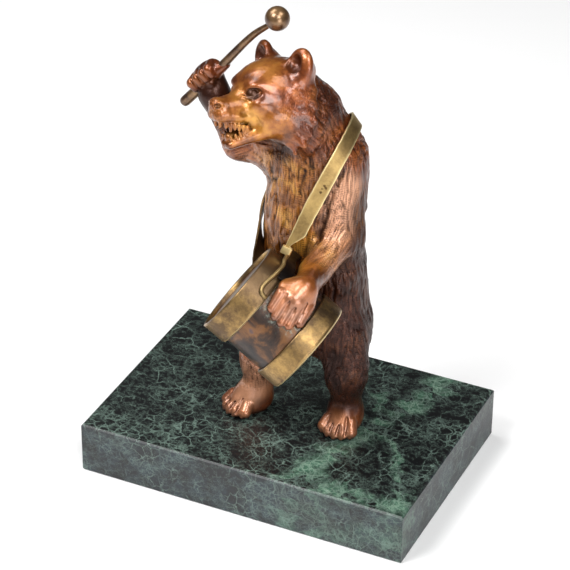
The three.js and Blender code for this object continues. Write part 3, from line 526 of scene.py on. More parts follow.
# %% Sample a field on a grid
def sample(field, grid, block=8):
    """The field on a grid given by three rows of coordinates. A far block keeps the value at its
    middle."""
    count = [len(g) // block for g in grid]
    cells = [g[:n * block].reshape(n, block) for g, n in zip(grid, count)]
    middle = np.stack(np.meshgrid(*[c.mean(1) for c in cells], indexing="ij"), -1).reshape(-1, 3)
    half = np.sqrt(sum(np.ptp(c[-1]) ** 2 for c in cells)) / 2
    value = field(middle)
    out = np.repeat(value[:, None], block ** 3, 1).astype(np.float32)
    near = np.flatnonzero(np.abs(value) < half * 1.6 + 2)
    for part in np.array_split(near, max(1, len(near) // 700)):
        i, j, k = np.unravel_index(part, count)
        x, y, z = np.broadcast_arrays(cells[0][i][:, :, None, None], cells[1][j][:, None, :, None],
                                      cells[2][k][:, None, None, :])
        out[part] = field(np.stack([x, y, z], -1).reshape(-1, 3)).reshape(len(part), -1)
    out = out.reshape(*count, block, block, block).transpose(0, 3, 1, 4, 2, 5)
    print(f"grid of {out.size} values, {len(near)} of {len(value)} blocks filled in")
    return out.reshape([n * block for n in count])

# %% Part sheets that touch
def parted(values, passes=8):
    """Two corners inside that face each other across a cell's side, with the other two outside, would
    make two sheets share an edge. Of the two outside, the one nearer the surface is put just inside,
    until none is left."""
    for _ in range(passes):
        found = 0
        for ways in ((0, 1), (0, 2), (1, 2)):
            v = np.moveaxis(values, ways, (0, 1))
            ring = ((0, 0), (1, 0), (1, 1), (0, 1))
            a, b, c, d = (v[i:i - 1 or None, j:j - 1 or None] < 0 for i, j in ring)
            at = np.argwhere((a == c) & (b == d) & (a != b))
            one = a[tuple(at.T)].astype(int)
            first = at + np.stack([one, 0 * one, 0 * one], 1)
            other = at + np.stack([1 - one, 0 * one + 1, 0 * one], 1)
            nearer = (v[tuple(first.T)] <= v[tuple(other.T)])[:, None]
            v[tuple(np.where(nearer, first, other).T)] = -0.01
            found += len(at)
        if not found:
            break
    return values

# %% One point a cell, one face an edge
CORNERS = np.array([(i, j, k) for i in (0, 1) for j in (0, 1) for k in (0, 1)])

def net(values, grid):
    """One point for each crossed cell, the mean of its crossed edges, and one quad for each crossed
    edge."""
    inside = values < 0
    n = [s - 1 for s in values.shape]
    total = sum(inside[i:i + n[0], j:j + n[1], k:k + n[2]].astype(np.int8) for i, j, k in CORNERS)
    cells = np.argwhere((total > 0) & (total < 8))
    v = np.stack([values[tuple((cells + c).T)] for c in CORNERS], 1)
    pairs = [(a, b) for a in range(8) for b in range(a + 1, 8)
             if np.abs(CORNERS[a] - CORNERS[b]).sum() == 1]
    spot, hits = np.zeros((len(cells), 3)), np.zeros(len(cells))
    for a, b in pairs:
        crossed = (v[:, a] < 0) != (v[:, b] < 0)
        t = np.where(crossed, v[:, a] / np.where(crossed, v[:, a] - v[:, b], 1), 0)
        spot += crossed[:, None] * (CORNERS[a] + t[:, None] * (CORNERS[b] - CORNERS[a]))
        hits += crossed
    spot = spot / hits[:, None]
    points = np.stack([g[c] + s * (g[c + 1] - g[c]) for g, c, s in zip(grid, cells.T, spot.T)], 1)
    number = np.full(values.shape, -1, np.int32)
    number[tuple(cells.T)] = np.arange(len(cells))
    quads = []
    for way in range(3):
        step = np.eye(3, dtype=int)
        first = np.take(inside, range(values.shape[way] - 1), way)
        second = np.take(inside, range(1, values.shape[way]), way)
        edge = np.argwhere(first != second)
        b, c = step[(way + 1) % 3], step[(way + 2) % 3]
        ring = np.stack([number[tuple((edge - shift).T)] for shift in (b + c, c, 0 * b, b)], 1)
        flip = first[tuple(edge.T)]
        ring[flip] = ring[flip][:, ::-1]
        quads.append(ring)
    return points, np.concatenate(quads)

line = np.arange(-8, 8.0)
ball = sample(lambda p: length(p) - 5, [line] * 3)
print("a ball of radius 5 on a 1 mm grid:", len(net(parted(ball), [line] * 3)[0]), "points")

# %% Leave out loose crumbs
def main_part(points, quads):
    """Leaves out loose crumbs. Faces that share an edge take the lowest number among them until nothing
    changes, and the number that most faces end with is the piece."""
    ends = np.sort(np.stack([quads, np.roll(quads, 1, 1)], -1).astype(np.int64), -1)
    edge = np.unique(ends[..., 0] * len(points) + ends[..., 1], return_inverse=True)[1].reshape(quads.shape)
    number, before = np.arange(len(quads)), None
    while before is None or (number != before).any():
        before = number
        lowest = np.full(edge.max() + 1, len(quads))
        np.minimum.at(lowest, edge, number[:, None])
        number = lowest[edge].min(1)
        number = number[number]
    piece = quads[number == np.bincount(number).argmax()]
    print(f"{len(quads) - len(piece)} loose faces left out")
    kept = np.unique(piece)
    return points[kept], np.searchsorted(kept, piece)

# %% Slide points onto the surface
def slope(field, p, e=0.25):
    """The direction in which a field grows fastest, from its values a little to each side."""
    steps = np.eye(3) * e
    return unit(np.stack([field(p + s) - field(p - s) for s in steps], 1))

def settle(field, p, times=2):
    """Moves points along the slope until the field there is nought."""
    for _ in range(times):
        p = p - slope(field, p) * np.clip(field(p), -1, 1)[:, None]
    return p

print("4 mm from a ball's middle, settled on radius 5:", settle(lambda p: length(p) - 5, probe[2:] * 0.8))

# %% [markdown]
# ## Fur
# The fur of a cast bear is carved wax: broad locks with a sharp valley between them, and finer strands on
# top. Hair curves would float above the metal, where this coat is cut into it, so it is a relief worked
# out for each point. Noise averaged along the way the hair lies is drawn out into locks of that
# direction. Wherever it crosses its middle value, the height falls to a sharp valley. Paws, soles and the
# face are combed smoother.

# %% Noise drawn out along the hair
def speckle(p):
    """Random numbers at whole coordinates, and between them a blend of the eight nearest by smooth
    weights."""
    cell = np.floor(p)
    f = p - cell
    f = f * f * (3 - 2 * f)
    total = np.zeros(len(p))
    for corner in CORNERS:
        h = np.sin((cell + corner) @ (127.1, 311.7, 74.7)) * 43758.5453
        total += (h - np.floor(h)) * np.prod(np.where(corner, f, 1 - f), 1)
    return total

def combed(p, way, size, reach, steps=7):
    """Noise with grains of one size, averaged over a short straight run along the way the hair lies."""
    return sum(speckle((p + way * s) / size) for s in np.linspace(-reach, reach, steps)) / steps

print("speckle at three places:", speckle(probe / 3 + 0.4).round(2))

# %% The way the fur lies, and how deep it is
def lay(p):
    """The groups' directions weighted by nearness and stirred a little, and a depth that fades on face
    and paws."""
    way, depth, total = np.zeros((len(p), 3)), np.zeros(len(p)), np.zeros(len(p))
    for forms, _, flow, deep in GROUPS:
        w = np.exp(-np.maximum(joined(forms, np.float32(p)), 0) / 2.5) + 1e-6
        way += unit(flow(p)) * w[:, None]
        depth += deep * w
        total += w
    stir = np.stack([speckle(p / 8 + s) for s in (0, 40, 80)], 1) - 0.5
    q = local(HEAD, p)
    bare = ((on_drum(-0.5, 62, 22), 10, 30, 0.1), (place(GRIP, (0, -4, 1)), 11, 20, 0.06),
            (in_head(-1.5, 12.4, 17), 8, 13, 0.15), (in_head(-1.5, -12.4, 17), 8, 13, 0.15))
    smooth = [np.clip((15 - q[:, 0]) / 26, 0.07, 1) + between(length(q), 26, 34),
              0.08 + 0.92 * between(p[:, 2] - FLOOR, 9, 24)]
    smooth += [low + (1 - low) * between(length(p - at), near, far) for at, near, far, low in bare]
    return unit(unit(way) + 0.35 * stir), depth / total * np.minimum(np.min(smooth, 0), 1)

print("depth of the fur on chest, nose and sole:",
      lay(np.array([(6, -14, 128), in_head(31, 0, -1), BODY["ankleL"]]))[1].round(2))

# %% [markdown]
# ## Growing the fur on the surface
# The carving goes on in three sizes, from locks as broad as the tip of a wax knife down to single
# strands. The points slide along the slope of the field, so no fold can cross itself. Two layers
# are kept for the finish: how high a point stands in the fur, and how narrow a crevice it lies in.

# %% Fur and crevices
def billow(n, spread):
    """The root of how far noise is from its middle: round backs with a sharp valley wherever it changes
    sign."""
    return np.sqrt(np.minimum(1, np.abs(n - 0.5) / (1.4 * spread)))

def fur_height(p, way, depth):
    """Broad locks, narrower tufts and fine strands, in millimetres, and how high a point stands, from 0
    to 1."""
    wavy = p + 3 * (np.stack([speckle(p / 12 + s) for s in (0, 40, 80)], 1) - 0.5)
    locks = billow(combed(wavy, way, 3.4, 11, 15), 0.08) - 0.75
    tufts = billow(combed(wavy, way, 1.7, 9, 17), 0.062) - 0.75
    strands = np.clip((combed(wavy, way, 0.95, 7, 17) - 0.5) / 0.055, -2, 2)
    clear = between(drum_distance(p), 0.2, 1.6) * between(p[:, 2] - FLOOR, 0.1, 1.5)
    depth = depth ** 1.5
    height = clear * (depth * (0.65 * locks + 0.4 * tufts) + 0.1 * (0.15 + 0.85 * depth) * strands)
    fold = 0.78 + depth * (0.5 * locks + 0.45 * tufts) + 0.07 * (0.2 + 0.8 * depth) * strands
    return height, np.clip(fold, 0, 1)

def crevice(p, n):
    """1 in a narrow place and 0 in the open: how far the nearest surface falls short, a little way
    out."""
    # Near the drum and the slab this darkness is painted shade; in the casting's own narrow folds it stands
    # for darker patina.
    near = lambda q: np.minimum(np.minimum(bear_distance(q), drum_distance(q)), q[:, 2] - FLOOR)
    return sum(np.clip(1 - near(p + n * r) / r, 0, 1) for r in (2, 5, 11)) / 3

print("billow of noise 0.5, 0.55 and 0.7:", billow(np.array((0.5, 0.55, 0.7)), 0.08).round(2))

# %% [markdown]
# ## Where the patina is dark, where shade and highlights are painted, and where it is golden
# The bronze was coloured by hand with acids and heat, so its colour has places of its own and doesn't
# follow the relief. One dark layer holds darker patina and painted shade: it is nearly black low on the
# flank and the left leg, where shade and the dark slab's reflection are painted, on the flank behind the
# arm, on the raised forearm behind the muzzle, behind the ear, under the jaw, in the mouth, a nostril and
# the ears, along the creases of the muzzle and in the gap beside the strap, all painted shade, and the
# eye is dark in its own colour. It stayed golden on muzzle and chest. It is worn to pale copper where
# hands rub the arm and the paws, and the same pale copper is a painted highlight, the pale floor
# mirrored, on the upper arm, the right leg and the feet. Balls with soft edges say where, and their sums
# become layers on the mesh.

# %% Spots of patina
def spots(p, balls):
    """The sum of soft balls (centre, radius, strength): full inside 0.4 of the radius, nothing outside
    it."""
    total = sum(s * between(1 - length(p - np.asarray(c)) / r, 0, 0.6) for c, r, s in balls)
    return np.clip(total, 0, 1)

# Dark spots as centre, radius and strength. They are painted shade low on the flank and the left leg, where
# the dark slab's reflection is painted too, on the flank behind the arm, on the raised forearm behind the
# muzzle and between forearm and belly above the drum; the one on the fist is a darker patina.
DARK_PATINA_AND_SHADE = [((32, 2, 88), 36, 1.15), ((-41, 5, 172), 13, 0.6), ((27, 0, 52), 28, 1.4), ((36, 6, 126), 24, 0.9),
        ((-34, 5, 161), 17, 1), ((24, -6, 98), 16, 0.8)]
# On the head, in its own frame: painted shade behind the ear, under the jaw, in the mouth, in a nostril and
# beside the nose, in the ear cups, along the lip's creases, under the brow and at the eye's inner corner.
# The eye is dark in its own colour.
ON_HEAD = [(-14, 18, 2, 17, 0.7), (0, 0, -19, 13, 1), (16.6, 6.8, 4.4, 4, 1.3), (19, 0, -11, 6.5, 0.85),
           (30.5, 3, -0.8, 2, 0.9), (1.5, 13, 18, 5.5, 0.9), (1.5, -13, 18, 6, 0.9),
           (20.5, 7.2, -3.6, 2.6, 0.5), (17.6, 8.2, -4.2, 2.6, 0.5), (14.2, 9.6, -7, 3, 0.5),
           (27, 4.6, -0.6, 2, 0.55), (12, 8.6, 9.6, 2.4, 0.45), (20.6, 5.8, 1.6, 2.2, 0.5)]
DARK_PATINA_AND_SHADE += [(in_head(*at), radius, strength) for *at, radius, strength in ON_HEAD]
# Painted shade along the narrow gap between the upper arm and the chest, beside the strap.
row = np.linspace(0, len(GAP) - 1, 22)
along_gap = np.stack([np.interp(row, range(len(GAP)), c) for c in np.transpose(GAP)], 1)
DARK_PATINA_AND_SHADE += [(p, 3.2, 0.4) for p in along_gap]
GOLD = [(in_head(20, 0, -6), 17, 0.6), (in_head(10, 9, -8), 14, 0.6), ((6, -14, 128), 36, 1.4),
        (in_head(8, 0, 12), 16, 0.4)]
# Pale copper spots: wear where hands rub arm and paw, and a painted highlight, the pale floor mirrored, on
# upper arm, forearm, paw, right leg and feet.
WORN_AND_HIGHLIGHT = [((26, -8, 140), 15, 1.2), ((25, -8, 127), 12, 0.8), ((22, -14, 112), 12, 0.5),
        (on_drum(0, 60, 26), 13, 0.35), ((27, -13, 27), 13, 0.4), ((-19, -18, 27), 14, 0.35),
        ((-13, -13, 42), 16, 0.65)]
print(len(DARK_PATINA_AND_SHADE), "dark places,", len(GOLD), "golden ones and", len(WORN_AND_HIGHLIGHT), "worn ones")

# %% [markdown]
# ## One casting, three meshes
# The head and the raised arm need a finer mesh than the rest, so the casting is meshed in three closed
# parts. Neighbours overlap by 4 mm, and each sinks out of sight beyond the seam, so the surfaces run into
# each other.

# %% Mesh a part of the casting
def even_grid(low, high, step, block=8):
    """Coordinates a step apart, as many as fill whole blocks."""
    n = int(np.ceil((high - low) / step / block)) * block
    return low + np.arange(n) * step

def cast_part(name, low, high, steps, finish, node=None):
    """Samples the field in a box, less all below and above it, settles the points and grows the fur."""
    grid = [even_grid(a - 2, b + 2, s) for a, b, s in zip(low, high, steps)]
    field = lambda p: np.maximum(bear_field(p), np.maximum(low[2] - p[:, 2], p[:, 2] - high[2]))
    points, quads = main_part(*net(parted(sample(field, grid)), grid))
    points = settle(field, points)
    normal = slope(bear_field, points)
    way, depth = lay(points)
    height, fold = fur_height(points, way, depth)
    sunk = between(np.maximum(points[:, 2] - high[2], low[2] - points[:, 2]) + 2, 0.4, 1.8)
    height = height * (1 - sunk) - 0.5 * sunk
    make_piece(name, points + normal * height[:, None], quads, finish, "bear_bronze", node, fold=fold,
               hollow=crevice(points, normal), dusk=spots(points, DARK_PATINA_AND_SHADE), gold=spots(points, GOLD),
               worn=spots(points, WORN_AND_HIGHLIGHT), lay=way, depth=depth)

print("from 0 to 10 mm in steps of 0.5, in whole blocks:", len(even_grid(0, 10, 0.5)), "coordinates")

# %% [markdown]
# ## Patinated bronze
# The bear is cast bronze with a warm red-brown patina under a thin coat of lacquer. Brown is rubbed
# through to orange on the ridges and stays nearly black in the valleys, which is what lets the eye read
# the fur. So the layers on the mesh choose the colour: fold for valley and ridge, hollow and the dark
# layer for darker patina and painted shade, gold for golden patina, and worn for rubbed copper and a
# painted highlight. Hairs too fine for the mesh, 0.75 mm apart, are noise drawn out along the lay. It is
# a metal with a soft gloss, and the lacquer thins out in the dark places, both those of patina where no
# cloth reaches and those of painted shade.

# %% Layers and single hairs
bear_bronze, add, mm = new_finish("patinated_cast_bronze")
fold, hollow, dusk, gold, worn = (add("Attribute", attribute_name=layer).outputs["Fac"]
                                  for layer in ("fold", "hollow", "dusk", "gold", "worn"))
lie = add("Attribute", attribute_name="lay").outputs["Vector"]
furry = add("MapRange", add("Attribute", attribute_name="depth").outputs["Fac"], 0.1, 0.6, 0.15, 1.0)
hairs = 0.0
for offset in np.linspace(-3.5, 3.5, 8):
    along_hair = add("VectorMath.MULTIPLY_ADD", lie, (float(offset),) * 3, mm)
    hairs = add("Math.ADD", add("TexNoise", Vector=along_hair, Scale=1 / 0.75, Detail=1.0), hairs)
strand = add("MapRange", hairs, 3.5, 4.4, 0.0, 1.0)
print(len(bear_bronze.node_tree.nodes), "nodes read the layers and draw the hairs")

# %% Colours of the patina
clouds = add("TexNoise", Vector=mm, Scale=1 / 10, Detail=5.0, Roughness=0.6)
copper = add("ValToRGB", clouds, stops=[(0.38, "#54240C"), (0.5, "#7E3D16"), (0.62, "#A05A28")])
golden = add("ValToRGB", clouds, stops=[(0.38, "#7A4412"), (0.5, "#AC6A24"), (0.62, "#CA8E38")])
patina = add("Mix.RGBA", gold, A=copper, B=golden)
# Pale copper of the worn layer: rubbed wear, and a painted highlight.
patina = add("Mix.RGBA", worn, A=patina, B=rgb("#D49A76"))
ridge = add("MapRange", fold, 0.2, 0.78, 0.0, 1.0, interpolation_type="SMOOTHSTEP")
thin = add("Math.MULTIPLY", add("Math.SUBTRACT", 1.0, strand), furry)
lit = add("Math.MULTIPLY", ridge, add("MapRange", thin, 0.0, 1.0, 1.25, 0.32))
carved = add("Mix.RGBA", lit, A=rgb("#1E0D07"), B=patina)
print("worn copper in linear light:", np.round(rgb("#D49A76")[:3], 2))

# %% Dark places, lacquer and relief
# The dark colour: darker patina, and painted shade from the dark spots and from the crevice layer near drum
# and slab. The lacquer thins there too.
deep = add("MapRange", add("Math.MAXIMUM", hollow, dusk), 0.25, 1.0, 0.0, 0.92)
rubbed = add("Math.MULTIPLY", add("MapRange", lit, 0.5, 1.2, 0.0, 0.16), furry)
deep = add("Math.SUBTRACT", deep, rubbed, use_clamp=True)
colour = add("Mix.RGBA", deep, A=carved, B=rgb("#28110A"))
bare = add("Math.MULTIPLY", add("MapRange", deep, 0.0, 0.9, 1.0, 0.12), 0.72)
lacquer = add("Math.MULTIPLY", bare, add("MapRange", lit, 0.4, 1.0, 0.0, 1.0))
chased = add("TexNoise", Vector=mm, Scale=1 / 3.2, Detail=3.0, Roughness=0.55)
height = add("Math.MULTIPLY_ADD", strand, add("Math.MULTIPLY", furry, 1.3), chased)
relief = add("Bump", Strength=0.35, Distance=0.0004, Height=height)
close_finish(add, Base_Color=colour, Metallic=0.55, Roughness=0.36,
             Normal=relief, Coat_Weight=lacquer, Coat_Roughness=0.18)
print(len(bear_bronze.node_tree.nodes), "nodes in the whole patina")

# %% Cast the three parts
BANDS = (74, 150)
cast_part("bear_legs", (-30, -36, 22), (40, 34, BANDS[0] + 2), (0.46, 0.46, 0.6), bear_bronze, "bear")
cast_part("bear_trunk", (-37, -56, BANDS[0] - 2), (40, 34, BANDS[1] + 2), (0.46, 0.46, 0.6), bear_bronze)
cast_part("bear_head", (-56, -40, BANDS[1] - 2), (36, 32, 206), (0.42, 0.42, 0.46), bear_bronze)

# %% [markdown]
# ## Grids, turned shapes and swept shapes
# Everything made by a machine or bent from strip is a surface over a grid. A turned piece is a profile
# carried round an axis, and a strap or a wire is a profile carried along a path. Bevelled curves could
# stand in for them, but a grid lets width, dents and layers change from row to row. Where a row of the
# grid shrinks to one point, its points are welded, so that the end is closed.

# %% Skin a grid
def skin(rows, closed=False):
    """Faces over a grid of points (rows x columns x 3): each face takes a point, its neighbours and the
    one across. Points in the same place are welded, and faces that lose a side become triangles or go."""
    r, c = rows.shape[:2]
    i, j = np.arange(r if closed else r - 1)[:, None], np.arange(c)[None, :]
    corner = lambda a, b: (a % r) * c + b % c
    ring = (corner(i, j), corner(i, j + 1), corner(i + 1, j + 1), corner(i + 1, j))
    quads = np.stack(ring, -1).reshape(-1, 4)
    triangles = np.concatenate([quads[:, [0, 1, 2]], quads[:, [0, 2, 3]]])
    flat = np.round(rows.reshape(-1, 3), 4)
    _, first, same = np.unique(flat, axis=0, return_index=True, return_inverse=True)
    triangles = same.ravel()[triangles]
    a, b, c = triangles.T
    return first, triangles[(a != b) & (b != c) & (c != a)]

def grid_piece(name, rows, material, slot, node, closed=False, **layers):
    """A grid as a piece. A layer is one number, one a row, one a column or one a point of the grid."""
    keep, triangles = skin(rows, closed)
    for layer, values in layers.items():
        size = np.shape(values)[2:]
        layers[layer] = np.broadcast_to(values, rows.shape[:2] + size).reshape(-1, *size)[keep]
    make_piece(name, rows.reshape(-1, 3)[keep], triangles, material, slot, node, **layers)

def close_ends(rows):
    """Adds a row at each end that lies in the middle of the first and the last, which closes the tube."""
    return np.concatenate([rows[:1] * 0 + rows[0].mean(0), rows, rows[:1] * 0 + rows[-1].mean(0)])

def spots_on(rows, balls):
    """The soft balls of the patina, for the points of a grid."""
    return spots(rows.reshape(-1, 3), balls).reshape(rows.shape[:2])

print("triangles on a tube of 3 rings of 4 points:", len(skin(np.arange(36.0).reshape(3, 4, 3))[1]))

# %% Outlines
def soft_outline(corners, ease, steps=5):
    """Rounds each corner of a closed outline: a curve (1-t)^2 a + 2t(1-t) c + t^2 b between points near
    it."""
    c = np.asarray(corners, float)
    a, b = c + unit(np.roll(c, 1, 0) - c) * ease, c + unit(np.roll(c, -1, 0) - c) * ease
    t = np.linspace(0, 1, steps)[:, None]
    return ((1 - t) ** 2 * a[:, None] + 2 * t * (1 - t) * c[:, None] + t * t * b[:, None]).reshape(-1, 2)

def filled(outline, gap, closed=True):
    """The same outline with points no further apart than a gap."""
    ends = np.vstack([outline, outline[:1]]) if closed else np.asarray(outline, float)
    far = np.concatenate([[0], np.cumsum(length(np.diff(ends, axis=0)))])
    marks = np.unique(np.concatenate([far, np.arange(0, far[-1], gap)]).round(4))
    marks = marks[np.concatenate([[True], np.diff(marks) > gap * 0.2])]
    rows = np.stack([np.interp(marks, far, column) for column in ends.T], 1)
    return rows[:-1] if closed and np.allclose(rows[0], rows[-1]) else rows

print("a square of 2 mm, rounded:", len(soft_outline([(-1, -1), (1, -1), (1, 1), (-1, 1)], 0.2)), "points")

# %% Paths
def carried(path, facing, outline, sizes=1.0):
    """An outline (across, up) carried along a path. Across is square to the path and to the way it
    faces."""
    run = unit(np.gradient(path, axis=0))
    side = unit(np.cross(run, facing))
    up = np.cross(side, run)
    shape = np.broadcast_to(outline, (len(path), *outline.shape[-2:])) * np.reshape(sizes, (-1, 1, 1))
    return path[:, None] + side[:, None] * shape[..., :1] + up[:, None] * shape[..., 1:]

def smooth_row(guides, count):
    """Points of a Catmull-Rom curve through the guides, each stretch as long in its own time as the root
    of its length, so that the curve makes no loops."""
    g = np.asarray(guides, float)
    g = np.vstack([2 * g[0] - g[1], g, 2 * g[-1] - g[-2]])
    t = np.linspace(0, len(g) - 3, count)
    i = np.minimum(t.astype(int), len(g) - 4)
    t = (t - i)[:, None]
    p = [g[i + n] for n in range(4)]
    d = [np.sqrt(length(p[n + 1] - p[n]))[:, None] for n in range(3)]
    m1 = ((p[1] - p[0]) / d[0] - (p[2] - p[0]) / (d[0] + d[1]) + (p[2] - p[1]) / d[1]) * d[1]
    m2 = ((p[2] - p[1]) / d[1] - (p[3] - p[1]) / (d[1] + d[2]) + (p[3] - p[2]) / d[2]) * d[1]
    rise = p[2] - p[1]
    return p[1] + m1 * t + (3 * rise - 2 * m1 - m2) * t ** 2 + (m1 + m2 - 2 * rise) * t ** 3

print("middle of a curve through three guides:", smooth_row([(0, 0, 0), (4, 3, 0), (9, 0, 0)], 3)[1])

# %% [markdown]
# ## Brass that has been handled
# Hoops, strap and hook are sheet and wire of yellow brass. It tarnishes brown in patches and stays bright
# where hands and cloths reach, so an edge layer, 1 on the corners of a section, carries the bright metal,
# and a hollow layer makes it darker: on the hoops near the casting and round the hook, on the strap's run
# over the back, in a few pits, and a little on the hook and the keeper. The plate under the hook was
# blackened in a bath, so it reads as a dark gap beside the bright strip. Fine scratches are noise of
# about 1 mm, drawn out along the strip where the mesh says which way it lies.

# %% Finish of the brass
def brass_finish(name, dull, mid, bright, patch, amount=0.55, rough=(0.42, 0.26)):
    """Dull, middle and bright colours, patches of a size in mm, how far tarnish goes, and two
    roughnesses."""
    finish, add, mm = new_finish(name)
    edge, nook = (add("Attribute", attribute_name=layer).outputs["Fac"] for layer in ("edge", "hollow"))
    lie = add("Attribute", attribute_name="lay").outputs["Vector"]
    clouds = add("TexNoise", Vector=mm, Scale=1 / patch, Detail=6.0, Roughness=0.65)
    slide = add("Math.MULTIPLY", add("VectorMath.DOT_PRODUCT", lie, mm), -0.9)
    drawn = add("VectorMath.MULTIPLY_ADD", lie, slide, mm)
    specks = add("TexNoise", Vector=drawn, Scale=1 / 1.1, Detail=4.0, Roughness=0.7)
    both = add("Math.ADD", clouds, add("Math.MULTIPLY", specks, 0.3))
    worn = add("MapRange", both, 0.5 + 0.25 * amount, 0.95, 0.0, 1.0)
    base = add("Mix.RGBA", worn, A=rgb(dull), B=rgb(mid))
    base = add("Mix.RGBA", add("MapRange", nook, 0.3, 0.9, 0.0, 0.9), A=base, B=rgb(dull))
    colour = add("Mix.RGBA", edge, A=base, B=rgb(bright))
    gloss = add("MapRange", worn, 0.0, 1.0, *rough)
    relief = add("Bump", Strength=0.2, Distance=0.0003, Height=specks)
    close_finish(add, Base_Color=colour, Metallic=0.9, Roughness=gloss, Normal=relief)
    return finish

hoop_brass = brass_finish("tarnished_sheet_brass", "#64503A", "#C29E62", "#EAD29C", 7.0, 0.1)
strap_brass = brass_finish("bare_strip_brass", "#4A3420", "#D2B272", "#F0DCA4", 12.0, -0.7, (0.5, 0.38))
black_brass = brass_finish("blackened_brass", "#1C1716", "#3A3432", "#55504C", 6.0)
print("three kinds of brass")

# %% [markdown]
# ## The drum
# A barrel of thin sheet between two hoops, with a skin let in a little below each rim. The sheet is not
# quite round: it was hammered, and a few shallow dents a thumb wide catch the light. Its bronze was left
# dull, with dark and brown stains and a grey-green bloom round the paw, so it stays behind the bright
# hoops.

# %% Shapes turned on the drum's axis
def turned_on(outline, columns=168, dent=0.0):
    """An outline of (radius, along) carried round the drum's axis; dents make the radius uneven."""
    a = np.linspace(0, 2 * np.pi, columns, endpoint=False)
    r, z = outline[:, :1], outline[:, 1:]
    rows = place(DRUM, np.stack(np.broadcast_arrays(np.cos(a) * r, np.sin(a) * r, z), -1))
    waves = speckle(rows.reshape(-1, 3) / 9 + 7).reshape(rows.shape[:2]) - 0.5
    out = unit(rows - place(DRUM, np.stack(np.broadcast_arrays(0 * a, 0 * a, z), -1)) + 1e-9)
    return rows + out * (waves * dent * between(r, 0.7 * RIM, 0.85 * RIM))[..., None]

def near_bear(rows, reach=4.0):
    """1 where the casting is close, falling to 0 at a reach in mm."""
    return np.clip(1 - bear_distance(rows.reshape(-1, 3)) / reach, 0, 1).reshape(rows.shape[:2])

print("near the bear in front and under the paw:", near_bear(on_drum(0, [0, 62], 20)[None])[0].round(2))

# %% Finish of the barrel
shell_bronze, add, mm = new_finish("dull_sheet_bronze")
paw = add("Attribute", attribute_name="hollow").outputs["Fac"]
clouds = add("TexNoise", Vector=mm, Scale=1 / 11, Detail=6.0, Roughness=0.62, Distortion=0.6)
stains = [(0.34, "#1C1716"), (0.48, "#3E2C22"), (0.6, "#7A5230"), (0.7, "#4C4248")]
base = add("ValToRGB", clouds, stops=stains)
flakes = add("TexNoise", Vector=mm, Scale=1 / 2.2, Detail=6.0, Roughness=0.7)
bloom = add("Math.MULTIPLY", paw, add("MapRange", flakes, 0.5, 0.62, 0.0, 1.0))
colour = add("Mix.RGBA", bloom, A=base, B=rgb("#8C958A"))
close_finish(add, Base_Color=colour, Metallic=0.55, Roughness=0.42, Coat_Weight=0.3, Coat_Roughness=0.3)
print(len(shell_bronze.node_tree.nodes), "nodes in the barrel's finish")

# %% Barrel and skins
sag = HALF - 1.8
outline = [(0, -sag), (SHELL - 0.3, -sag), (SHELL, -sag + 0.3), (SHELL, sag - 0.3), (SHELL - 0.3, sag),
           (0, sag)]
rows = turned_on(filled(np.array(outline), 0.8, closed=False), dent=0.5)
grid_piece("drum_barrel", rows, shell_bronze, "drum_bronze", "drum_body", hollow=near_bear(rows))

# %% Hoops
for end, low, high in (("upper", HALF - UPPER, HALF), ("lower", -HALF, LOWER - HALF)):
    section = filled(soft_outline([(19.75, low), (RIM, low), (RIM, high), (19.75, high)], 0.3), 1.0)
    worn = (np.abs(section[:, 1] - (low + high) / 2) > (high - low) / 2 - 0.25) * (section[:, 0] > 20.5)
    rows = turned_on(section, dent=0.25)
    # Darker on the hoops near the casting and round the hook.
    dark = np.maximum(near_bear(rows), spots_on(rows, [(on_drum(14, 84, 21), 23, 1)]))
    grid_piece("hoop_" + end, rows, hoop_brass, "hoop_brass", "drum_hoop_" + end, closed=True,
               edge=worn[:, None], hollow=dark)

# %% [markdown]
# ## Strap, keeper, plate and hook
# The strap is a strip of brass that lies over the left shoulder, runs down the back and hangs free to the
# far rim of the drum. Its flat side looks away from the body, so the body's own slope says how the strip
# turns. In front it narrows to a tongue that a small brass loop, the keeper, closes. A bent wire hooks it
# to the drum, and a dark plate lies under both. All four are outlines carried along a path.

# %% Where the strap runs
def body_distance(p):
    """The trunk and the upper arm, without the fur."""
    return joined(trunk + [(bone(BODY["shoulderL"], BODY["elbowL"], 10.5, 7.6), 8)], np.float32(p))

KEEPER, REAR = on_drum(12.6, 116, 24.9), on_drum(15.6, 190, 22.6)
over = np.array([(20.7, -6.9, 152.4), (22.9, 0.5, 161), (20.5, 13, 163), (9, 22, 150), (-3, 22, 138),
                 (-11.5, 13, 129)])
OVER_SKIN = 1.7
for _ in range(6):
    over = over + slope(body_distance, over, 0.5) * (OVER_SKIN - body_distance(over))[:, None]
guides = np.vstack([KEEPER, (14.4, -15.6, 133.5), over, (-14.2, 1, 119), REAR])
FEW, MANY = 45, 500
coarse, path = smooth_row(guides, FEW), smooth_row(guides, MANY)
facing = slope(body_distance, coarse, 2)
facing[-2:] = off_drum(190)
spread = np.clip(np.arange(FEW)[:, None] + np.arange(-2, 3), 0, FEW - 1)
facing = unit(facing[spread].sum(1))
facing[:4] = facing[4]
print("the strap is", length(np.diff(path, axis=0)).sum().round(), "mm long")

